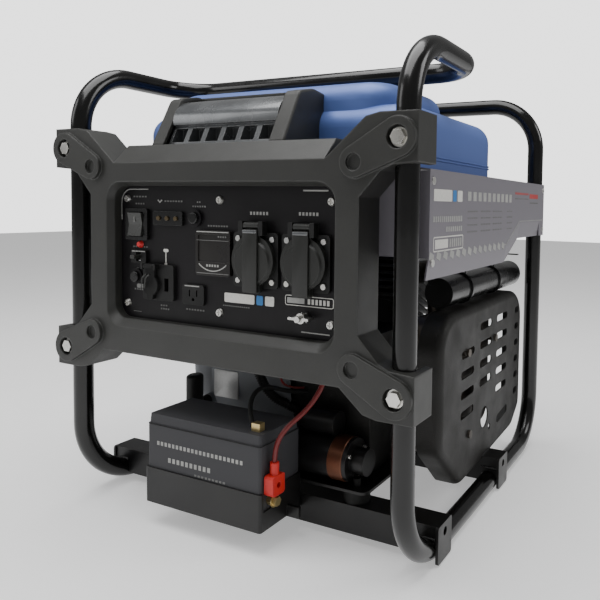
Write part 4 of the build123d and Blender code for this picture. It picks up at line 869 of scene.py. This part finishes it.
@dataclass
class Print:
    """Strokes, dashes and bands of ink on one flat face; no lettering anywhere.

    Args:
        plane: Gives the drawing plane for a depth along its normal.
        face: Where the printed face lies.
        inset: How far the ink starts under the face, in metres.
        thick: The ink's whole thickness.
    """

    plane: Callable[[float], Matrix]
    face: float
    inset: float = 0.1 * MM
    thick: float = 0.25 * MM

    def place(self) -> Matrix:
        """Returns the drawing plane, just under the printed face."""
        made = self.plane(self.face)
        out = made.to_3x3() @ Vector((0, 0, 1))
        return Matrix.Translation(-out * self.inset) @ made

    def stroke(self, name: str, points: Sequence[Tuple[float, float]], width: float,
               ink: Finish) -> bpy.types.Object:
        """Prints a line.

        Args:
            name: The piece's name.
            points: Points across and up, in millimetres.
            width: The line's width in millimetres.
            ink: Its finish.

        Returns:
            The line, riding on the frame.
        """
        path = [Vector((x * MM, z * MM)) for x, z in points]
        left: List[Tuple[float, float]] = []
        right: List[Tuple[float, float]] = []
        for i, spot in enumerate(path):
            ahead = path[min(i + 1, len(path) - 1)] - path[max(i - 1, 0)]
            across = Vector((-ahead.y, ahead.x)).normalized() * width * MM / 2
            left.append(tuple(spot + across))
            right.append(tuple(spot - across))
        return ride(prism(name, left + right[::-1], self.place(), self.thick, ink))

    def bar(self, name: str, x: float, z: float, width: float, height: float, ink: Finish,
            radius: float = 0.6) -> bpy.types.Object:
        """Prints a filled bar round a middle given in millimetres and returns it."""
        outline = rounded(x * MM, z * MM, width * MM, height * MM, radius * MM, 4)
        return ride(prism(name, outline, self.place(), self.thick, ink))

    def band(self, name: str, x: float, z: float, width: float, height: float, line: float,
             ink: Finish) -> bpy.types.Object:
        """Prints the outline of a round-cornered box.

        Args:
            name: The piece's name.
            x: Its middle across, in millimetres.
            z: Its middle up.
            width: Its width.
            height: Its height.
            line: The line's width.
            ink: Its finish.

        Returns:
            The band, riding on the frame.
        """
        place = self.place()
        outlines = [rounded(x * MM, z * MM, (width - k) * MM, (height - k) * MM, (2.2 - k / 2) * MM, 4)
                    for k in (0.0, 2 * line)]
        shape = bmesh.new()
        rings = [[shape.verts.new(place @ Vector((u, v, depth))) for u, v in outline]
                 for outline in outlines for depth in (0.0, self.thick)]
        count = len(outlines[0])
        for a, b in ((0, 1), (1, 3), (3, 2), (2, 0)):
            for i in range(count):
                j = (i + 1) % count
                shape.faces.new((rings[a][i], rings[a][j], rings[b][j], rings[b][i]))
        return ride(new_object(name, closed(name, shape), ink))

    def dashes(self, name: str, start: float, stop: float, z: float, height: float, count: int,
               ink: Finish, lean: float = 0.0) -> bpy.types.Object:
        """Prints a row of dashes that stands for a row of marks.

        Args:
            name: The piece's name.
            start: First dash's middle across, in millimetres.
            stop: Last dash's middle.
            z: The row's height.
            height: A dash's height.
            count: How many dashes.
            ink: Their finish.
            lean: How far a dash leans, as a slope.

        Returns:
            The row, riding on the frame.
        """
        place = self.place()
        ends = [place @ Vector((x * MM, z * MM, self.thick / 2)) for x in (start, stop)]
        across, up, out = (place.to_3x3() @ Vector(v) for v in ((1, 0, 0), (0, 1, 0), (0, 0, 1)))
        width = (stop - start) / max(count - 1, 1) * 0.62 * MM
        size = [abs(across[i]) * width + abs(out[i]) * self.thick for i in range(2)] + [height * MM]
        row = Repeat(name, ink, Layout.LINE, Unit.BLOCK, tuple(size), count, tuple(ends[0]),
                     tuple(ends[1]), axis=tuple(up + across * lean))
        return ride(row.build())


def arc(cx: float, cz: float, radius: float, start: float, stop: float,
        steps: int = 10) -> List[Tuple[float, float]]:
    """Returns points on an arc between two angles in degrees."""
    turns = [math.radians(start + (stop - start) * i / steps) for i in range(steps + 1)]
    return [(cx + radius * math.cos(a), cz + radius * math.sin(a)) for a in turns]


@dataclass
class ControlPanel(SubAssembly):
    """Bezel, plate, switches, sockets and their print."""

    line: float = 1.1
    screw_head: float = 5.6 * MM
    screw_reach: float = 20.7 * MM
    lid_band: float = 17.5
    nodes = {"panel_frame": Shop.BEZEL, "control_panel": Shop.PANEL, "panel_screws": Shop.ZINC,
             "socket_left": Shop.MATT_BLACK, "socket_right": Shop.MATT_BLACK, "lid_left": Shop.LID,
             "lid_right": Shop.LID, "socket_screws": Shop.ZINC, "small_socket": Shop.MATT_BLACK,
             "dc_outlet": Shop.MATT_BLACK, "dc_cap": Shop.RUBBER, "switch_housing": Shop.GLOSS_BLACK,
             "start_rocker": Shop.ROCKER, "pilot_lamp": Shop.RED_LENS,
             "breaker_body": Shop.MATT_BLACK, "breaker_toggle": Shop.ROCKER,
             "reset_button": Shop.GLOSS_BLACK, "dc_reset_button": Shop.GLOSS_BLACK,
             "indicator_block": Shop.GLOSS_BLACK, "indicator_leds": Shop.AMBER_LENS,
             "voltmeter": Shop.METER, "ground_stud": Shop.ZINC, "wing_nut": Shop.ZINC}

    def build(self) -> None:
        """Makes the plate's print, the meter's face, the lids' bands and the small fittings."""
        plate = Print(plane=front_plane, face=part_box("socket_screws")[1].y)
        self._corner_lines(plate)
        self._marks(plate)
        self._plaques(plate)
        self._meter()
        self._lid("left")
        self._lid("right")
        self._socket_screws()
        self._dc_strap()

    def _corner_lines(self, plate: Print) -> None:
        """Prints the light line in each corner of the plate."""
        upper_left = [(-141.4, 327), (-141.4, 346)] + arc(-127, 346, 14.4, 180, 90) + [(-101, 360.4)]
        plate.stroke("print_corner_upper_left", upper_left, self.line, Shop.PRINT)
        plate.stroke("print_corner_upper_right", [(100, 360), (128, 360)], 1.5, Shop.PRINT)
        plate.stroke("print_corner_lower_right", [(99, 226), (131, 226)], 1.2, Shop.PRINT)
        plate.stroke("print_corner_lower_left", [(-124, 227), (-112, 227)], 0.6, Shop.FAINT_PRINT)

    def _marks(self, plate: Print) -> None:
        """Prints plain dashes where the panel is marked, and paints a highlight along the breaker's top
        edge.
        """
        rows = {"start_upper": (-122, -105, 352.5, 5), "start_lower": (-119, -108, 344.8, 4),
                "start_side": (-134.5, -131.5, 321, 2), "indicator": (-76, -53, 348, 7),
                "reset_upper": (-31, -28, 347.5, 2), "reset_lower": (-37, -21, 343, 6),
                "meter": (-16, 8, 323.5, 8), "lamp_left": (-123, -119.5, 298, 2),
                "lamp_right": (-107, -103.5, 298, 2), "dc_reset_upper": (-117, -111, 274.5, 2),
                "dc_reset_lower": (-121, -107, 251.5, 5), "dc_upper": (-82, -75, 236.5, 3),
                "dc_lower": (-82, -72, 232.8, 4), "small_socket": (-45.5, -23, 235.5, 7)}
        for name, (start, stop, z, count) in rows.items():
            plate.dashes(f"print_{name}", start, stop, z, 1.7, count, Shop.FAINT_PRINT)
        plate.stroke("print_warning_mark", [(-87, 349.2), (-84, 346.6), (-81, 349.2)], 1.6, Shop.PRINT)
        plate.dashes("print_socket_left", 38.5, 58, 337.5, 3.2, 6, Shop.PRINT)
        plate.dashes("print_socket_right", 96.5, 116, 338, 3.2, 6, Shop.PRINT)
        plate.stroke("print_usb_stem", [(-75.5, 279), (-75.5, 294)], 1.3, Shop.PALE_PRINT)
        plate.bar("print_usb_bar", -75.5, 295.5, 7.0, 3.4, Shop.PALE_PRINT, 1.4)
        plate.bar("print_usb_foot", -75.5, 281.0, 3.6, 3.6, Shop.PALE_PRINT, 1.7)
        rocker = Print(plane=front_plane, face=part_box("start_rocker")[0].y + 0.75 * MM)
        rocker.stroke("print_rocker", [(-115.5, 325), (-115.5, 331)], 0.8, Shop.PRINT)
        # Painted highlight: a light line along the breaker's top edge.
        breaker = Print(plane=front_plane, face=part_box("breaker_body")[0].y)
        breaker.stroke("breaker_top_highlight", [(-122.5, 293.2), (-102.5, 293.2)], 1.1, Shop.PRINT)
        small = Print(plane=front_plane, face=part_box("small_socket")[0].y)
        small.stroke("print_small_socket_edge", [(-46, 260.6), (-26, 260.6)], 1.2, Shop.PRINT)

    def _plaques(self, plate: Print) -> None:
        """Prints the blank name bar and the blank rating box."""
        plate.bar("print_name_bar_long", 24, 252, 38, 9.5, Shop.PALE_PRINT, 1.5)
        plate.bar("print_name_bar_mid", 49.5, 252, 8, 9.5, Shop.BLUE_PRINT, 1.5)
        plate.bar("print_name_bar_short", 61.5, 252, 11, 9.5, Shop.PALE_PRINT, 1.5)
        plate.dashes("print_name_row", 4, 36, 243.6, 1.2, 13, Shop.FAINT_PRINT)
        plate.band("print_rating_box", 107.5, 255.5, 55, 10, 0.8, Shop.PALE_PRINT)
        plate.bar("print_rating_fill", 92.5, 255.5, 20, 5.4, Shop.PRINT)
        plate.dashes("print_rating_row", 107.5, 129, 255.5, 5.0, 6, Shop.PALE_PRINT)

    def _meter(self) -> None:
        """Prints the voltmeter's lines and its curved scale, and paints a highlight along its top edge.
        """
        low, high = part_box("voltmeter")
        x, z = (low.x + high.x) / 2 / MM, (low.z + high.z) / 2 / MM
        face = Print(plane=front_plane, face=low.y)
        # Painted highlight: a light line where the meter's top edge catches light.
        face.stroke("meter_top_edge_highlight", [(x - 21, z + 21.6), (x + 21, z + 21.6)], 1.1, Shop.PRINT)
        face.stroke("meter_band_line", [(x - 21, z + 13), (x + 21, z + 13)], 0.6, Shop.FAINT_PRINT)
        face.dashes("meter_unit", x + 8, x + 17, z + 17, 1.6, 4, Shop.FAINT_PRINT)
        face.stroke("meter_scale", arc(x, z + 9, 27, 228, 312, 14), 1.2, Shop.PRINT)
        face.dashes("meter_scale_marks", x - 7, x + 7, z - 12.5, 2.4, 5, Shop.PRINT)
        face.stroke("meter_foot_line", [(x - 21, z - 20.5), (x + 21, z - 20.5)], 0.8, Shop.FAINT_PRINT)

    def _lid(self, side: str) -> None:
        """Makes the raised band of one socket lid and a silver bar at its hinge, a painted highlight;
        both swing with the lid.
        """
        low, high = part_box(f"lid_{side}")
        x = (low.x + high.x) / 2
        band = prism(f"lid_band_{side}", rounded(x, low.z + 31.5 * MM, self.lid_band * MM, 61 * MM,
                                                 1.2 * MM), front_plane(low.y + 1.2 * MM),
                     2.6 * MM, Shop.LID, 0.5 * MM)
        ride(band, f"{side}_lid")
        # Silver bar at the hinge: a painted highlight where the hinge pins catch light.
        bar = prism(f"lid_hinge_highlight_{side}", rounded(x, high.z - 9.4 * MM, 17 * MM, 3.2 * MM, 1.2 * MM),
                    front_plane(low.y + 1.2 * MM), 2.9 * MM, Shop.SILVER, 0.5 * MM)
        ride(bar, f"{side}_lid")

    def _socket_screws(self) -> None:
        """Makes the small screws of the sockets, two to a column."""
        low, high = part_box("socket_screws")
        z = (low.z + high.z) / 2
        heads: List[bpy.types.Object] = []
        for side in ("left", "right"):
            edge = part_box(f"socket_{side}")
            x = (edge[0].x + edge[1].x) / 2
            for k, sign in enumerate((-1, 1)):
                place = x + sign * self.screw_reach
                heads.append(Repeat(f"socket_screws_{side}_{k}", Shop.ZINC, Layout.LINE, Unit.ROD,
                                    (self.screw_head, self.screw_head, 2.2 * MM), 2,
                                    (place, high.y - 4.6 * MM, z - self.screw_reach),
                                    (place, high.y - 4.6 * MM, z + self.screw_reach),
                                    axis=(0, -1, 0)).build())
        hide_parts("socket_screws")
        for head in heads:
            ride(head)

    def _dc_strap(self) -> None:
        """Makes the two loops and the finger tab of the low-voltage cap."""
        low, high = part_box("dc_cap")
        for k in range(2):
            x, y = low.x + (7 + 5 * k) * MM, low.y - 0.6 * MM
            bends = [(x + across * MM, y, high.z - down * MM)
                     for across, down in ((-4, 26), (-4, 19), (-2, 13), (3, 11))]
            loop = wire(f"dc_strap_{k}", bends, 1.7 * MM, Shop.ROCKER)
            ride(loop, "dc_flap")
        tab = prism("dc_finger_tab", rounded(low.x + 1 * MM, low.z + 14 * MM, 9 * MM, 4.5 * MM, 1 * MM),
                    front_plane(low.y + 1 * MM), 2 * MM, Shop.FAINT_PRINT, 0.4 * MM)
        ride(tab, "dc_flap")


@dataclass
class TopCowl(SubAssembly):
    """Cowl and its silver vent."""

    nodes = {"top_cowl": Shop.BEZEL, "vent_drum": Shop.SILVER}


@dataclass
class FuelTank(SubAssembly):
    """Tank and cap."""

    nodes = {"fuel_tank": Shop.TANK, "fuel_cap": Shop.MATT_BLACK}

    def build(self) -> None:
        """Adds the rolled seam where the tank's two pressed halves meet."""
        low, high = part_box("fuel_tank")
        for k, z in enumerate((low.z + 10 * MM, low.z + 13 * MM)):
            outline = rounded((low.x + high.x) / 2, (low.y + high.y) / 2, high.x - low.x + 3 * MM,
                              high.y - low.y + 3 * MM, 35 * MM, 10)
            seam = prism(f"tank_seam_{k}", outline, Matrix.Translation((0, 0, z)), 1.6 * MM, Shop.TANK,
                         0.5 * MM)
            ride(seam)


@dataclass
class SidePanels(SubAssembly):
    """Sheet side panels with their plain print and screws."""

    nodes = {"side_panel_right": Shop.SIDE, "side_panel_left": Shop.SIDE}

    def build(self) -> None:
        """Prints each panel and puts in its screws."""
        for name, side in (("right", 1), ("left", -1)):
            low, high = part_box(f"side_panel_{name}")
            face = Print(plane=right_plane if side > 0 else left_plane,
                         face=(high if side > 0 else low).x)
            self._print(name, face, side)
            x = face.face
            for k, (y, z0, z1) in enumerate(((low.y + 7 * MM, 296, 370), (high.y - 7 * MM, 316, 372))):
                screws = Repeat(f"side_screws_{name}_{k}", Shop.ZINC, Layout.LINE, Unit.ROD,
                                (7 * MM, 7 * MM, 2.4 * MM), 2, (x, y, z0 * MM), (x, y, z1 * MM),
                                axis=(side, 0, 0))
                ride(screws.build())

    def _print(self, name: str, face: Print, side: int) -> None:
        """Prints bars, dashes, a blank box and a line along the fold.

        Args:
            name: Which panel it is.
            face: The printed face.
            side: 1 on the right, -1 on the left.
        """
        def at(y: float) -> float:
            """Returns where a distance along the machine lies across the drawing plane."""
            return y * side

        face.bar(f"side_name_long_{name}", at(-157), 357.5, 44, 11, Shop.PALE_PRINT, 1.5)
        face.bar(f"side_name_mid_{name}", at(-128), 357.5, 9, 11, Shop.BLUE_PRINT, 1.5)
        face.bar(f"side_name_short_{name}", at(-114), 357.5, 13, 11, Shop.PALE_PRINT, 1.5)
        face.dashes(f"side_row_one_{name}", at(-178), at(-109), 335.5, 5.6, 15, Shop.PRINT)
        face.dashes(f"side_row_two_{name}", at(-147), at(-109), 325.8, 5.0, 8, Shop.PRINT)
        face.band(f"side_box_{name}", at(-141), 312.5, 75, 14, 1.2, Shop.PALE_PRINT)
        face.bar(f"side_box_fill_{name}", at(-159), 312.5, 31, 8.5, Shop.PALE_PRINT)
        face.dashes(f"side_box_row_{name}", at(-138), at(-110), 312.5, 8.0, 6, Shop.PRINT)
        face.dashes(f"side_symbols_{name}", at(-87), at(57), 358, 9.5, 10, Shop.PRINT)
        columns = ((-89, -64, 5), (-47, -22, 4), (-6, 21, 4), (48, 63, 3))
        for c, (start, stop, count) in enumerate(columns):
            for r in range(4):
                face.dashes(f"side_table_{name}_{c}_{r}", at(start), at(stop), 342.5 - 7 * r, 1.5, count,
                            Shop.FAINT_PRINT)
        face.dashes(f"side_hatch_{name}", at(-182), at(31), 301.5, 7.0, 14, Shop.PRINT, lean=0.35)
        face.stroke(f"side_fold_line_{name}", [(at(36), 302.5), (at(44.5), 302.5), (at(101), 329.6),
                                               (at(221), 329.6)], 1.0, Shop.PRINT)
        face.dashes(f"side_red_rows_{name}", at(80), at(138), 365, 2.6, 12, Shop.RED_PRINT)
        face.dashes(f"side_faint_rows_{name}", at(80), at(138), 358.5, 1.4, 14, Shop.FAINT_PRINT)
        face.bar(f"side_red_patch_{name}", at(168), 362.5, 44, 6.0, Shop.RED_PRINT)
        face.dashes(f"side_patch_row_{name}", at(150), at(188), 353.5, 1.8, 9, Shop.FAINT_PRINT)


@dataclass
class Engine(SubAssembly):
    """Engine, alternator, pull start, starter motor and intake."""

    nodes = {"inverter_module": Shop.CAST, "engine_block": Shop.DARK_CAST,
             "cylinder_head": Shop.CAST, "valve_cover": Shop.SHEET, "spark_plug": Shop.RUBBER,
             "crankshaft": Shop.STEEL, "flywheel_rotor": Shop.IRON, "stator": Shop.STEEL,
             "fan_shroud": Shop.SHROUD, "recoil_cover": Shop.SHROUD, "recoil_pulley": Shop.MATT_BLACK,
             "recoil_grip": Shop.MATT_BLACK, "starter_motor": Shop.SHEET, "carburetor": Shop.CAST,
             "air_cleaner": Shop.MATT_BLACK}

    def build(self) -> None:
        """Makes the rope, the windings, the screws, the starter's trim and the loom."""
        self._pull_rope()
        self._windings()
        self._starter_trim()
        self._shroud_trim()
        self._loom()

    def _pull_rope(self) -> None:
        """Makes the rope between the cover's eyelet and the grip."""
        low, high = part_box("recoil_grip")
        x, z = (low.x + high.x) / 2, (low.z + high.z) / 2
        rope = lathe("pull_rope", [(2 * MM, 0), (2 * MM, 4 * MM), (2 * MM, 8 * MM), (2 * MM, 12 * MM)],
                     (x, high.y + 7 * MM, z), (0, -1, 0), Shop.TIE, 12)
        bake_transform(rope)

    def _windings(self) -> None:
        """Winds copper round the stator's teeth."""
        low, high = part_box("stator")
        middle = ((low.y + high.y) / 2, (low.z + high.z) / 2)
        coils = Repeat("stator_windings", Shop.COPPER, Layout.RING, Unit.BLOCK,
                       (17 * MM, 6 * MM, 36 * MM), 18, (low.x + 19 * MM, middle[0], middle[1]),
                       axis=(1, 0, 0), radius=46 * MM)
        ride(coils.build())

    def _starter_trim(self) -> None:
        """Adds the copper band and the through bolts of the starter motor."""
        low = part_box("starter_motor")[0]
        y, z, r = low.y + 23 * MM, low.z + 23 * MM, 23 * MM
        band = lathe("starter_band", [(r + 0.1 * MM, 0), (r + 0.8 * MM, 0.6 * MM),
                                      (r + 0.8 * MM, 17 * MM), (r + 0.1 * MM, 17.6 * MM)],
                     (low.x + 72 * MM, y, z), (1, 0, 0), Shop.COPPER, 48)
        ride(band)
        bolts = Repeat("starter_bolts", Shop.ZINC, Layout.RING, Unit.ROD, (5 * MM, 5 * MM, 3 * MM), 2,
                       (low.x + 94.5 * MM + 1.4 * MM, y, z), axis=(1, 0, 0), radius=18 * MM)
        ride(bolts.build())

    def _shroud_trim(self) -> None:
        """Adds the screws of the pull-start cover and a plain plate on the shroud."""
        low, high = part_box("fan_shroud")
        y, z = (low.y + high.y) / 2, (low.z + high.z) / 2
        screws = Repeat("recoil_screws", Shop.ZINC, Layout.RING, Unit.ROD, (7 * MM, 7 * MM, 3 * MM), 4,
                        (low.x - 1.2 * MM, y, z), axis=(1, 0, 0), radius=77.5 * MM)
        ride(screws.build())
        plate = prism("shroud_plate", rounded(-72 * MM, 130 * MM, 37 * MM, 33 * MM, 2 * MM),
                      front_plane(low.y + 1.2 * MM), 1.8 * MM, Shop.LABEL, 0.3 * MM)
        ride(plate)

    def _loom(self) -> None:
        """Runs the loom and small wires from the inverter down to the engine."""
        paths: Dict[str, Tuple[List[Point], float, Finish]] = {
            "loom_main": ([(-20, -140, 206), (-16, -140, 180), (-8, -136, 150), (2, -128, 128),
                           (18, -118, 118), (26, -111, 112)], 9.0, Shop.MATT_BLACK),
            "loom_red": ([(14, -146, 206), (16, -146, 186), (22, -140, 162), (20, -132, 146),
                          (28, -122, 140), (34, -110, 138)], 2.6, Shop.RED_WIRE),
            "loom_tan": ([(30, -146, 206), (34, -146, 186), (46, -144, 168), (54, -136, 160),
                          (60, -122, 156), (64, -110, 154)], 2.2, Shop.TAN),
            "loom_black": ([(6, -144, 206), (2, -146, 184), (-6, -144, 160), (-4, -138, 138),
                            (10, -124, 124), (22, -110, 122)], 3.2, Shop.RUBBER)}
        for name, (spots, size, finish) in paths.items():
            ride(wire(name, in_metres(spots), size * MM, finish))
        ribs = Repeat("loom_conduit", Shop.MATT_BLACK, Layout.PATH, Unit.HOOP,
                      (9.6 * MM, 9.6 * MM, 1.5 * MM), 44,
                      points=in_metres(paths["loom_main"][0]))
        ride(ribs.build())


@dataclass
class ExhaustSide(SubAssembly):
    """Muffler, heat shield and vapour canister."""

    nodes = {"muffler": Shop.EXHAUST, "heat_shield": Shop.SHIELD, "evap_canister": Shop.GLOSS_BLACK}


def main() -> None:
    """Builds the studio and every sub-assembly in order."""
    logging.basicConfig(level=logging.INFO, format="%(message)s")
    for group in (Studio(), TubeFrame(), StarterBattery(), ControlPanel(), TopCowl(), FuelTank(),
                  SidePanels(), Engine(), ExhaustSide()):
        group.dress()
        group.build()
        LOG.info("%s is done", type(group).__name__)


if __name__ == "__main__":
    main()
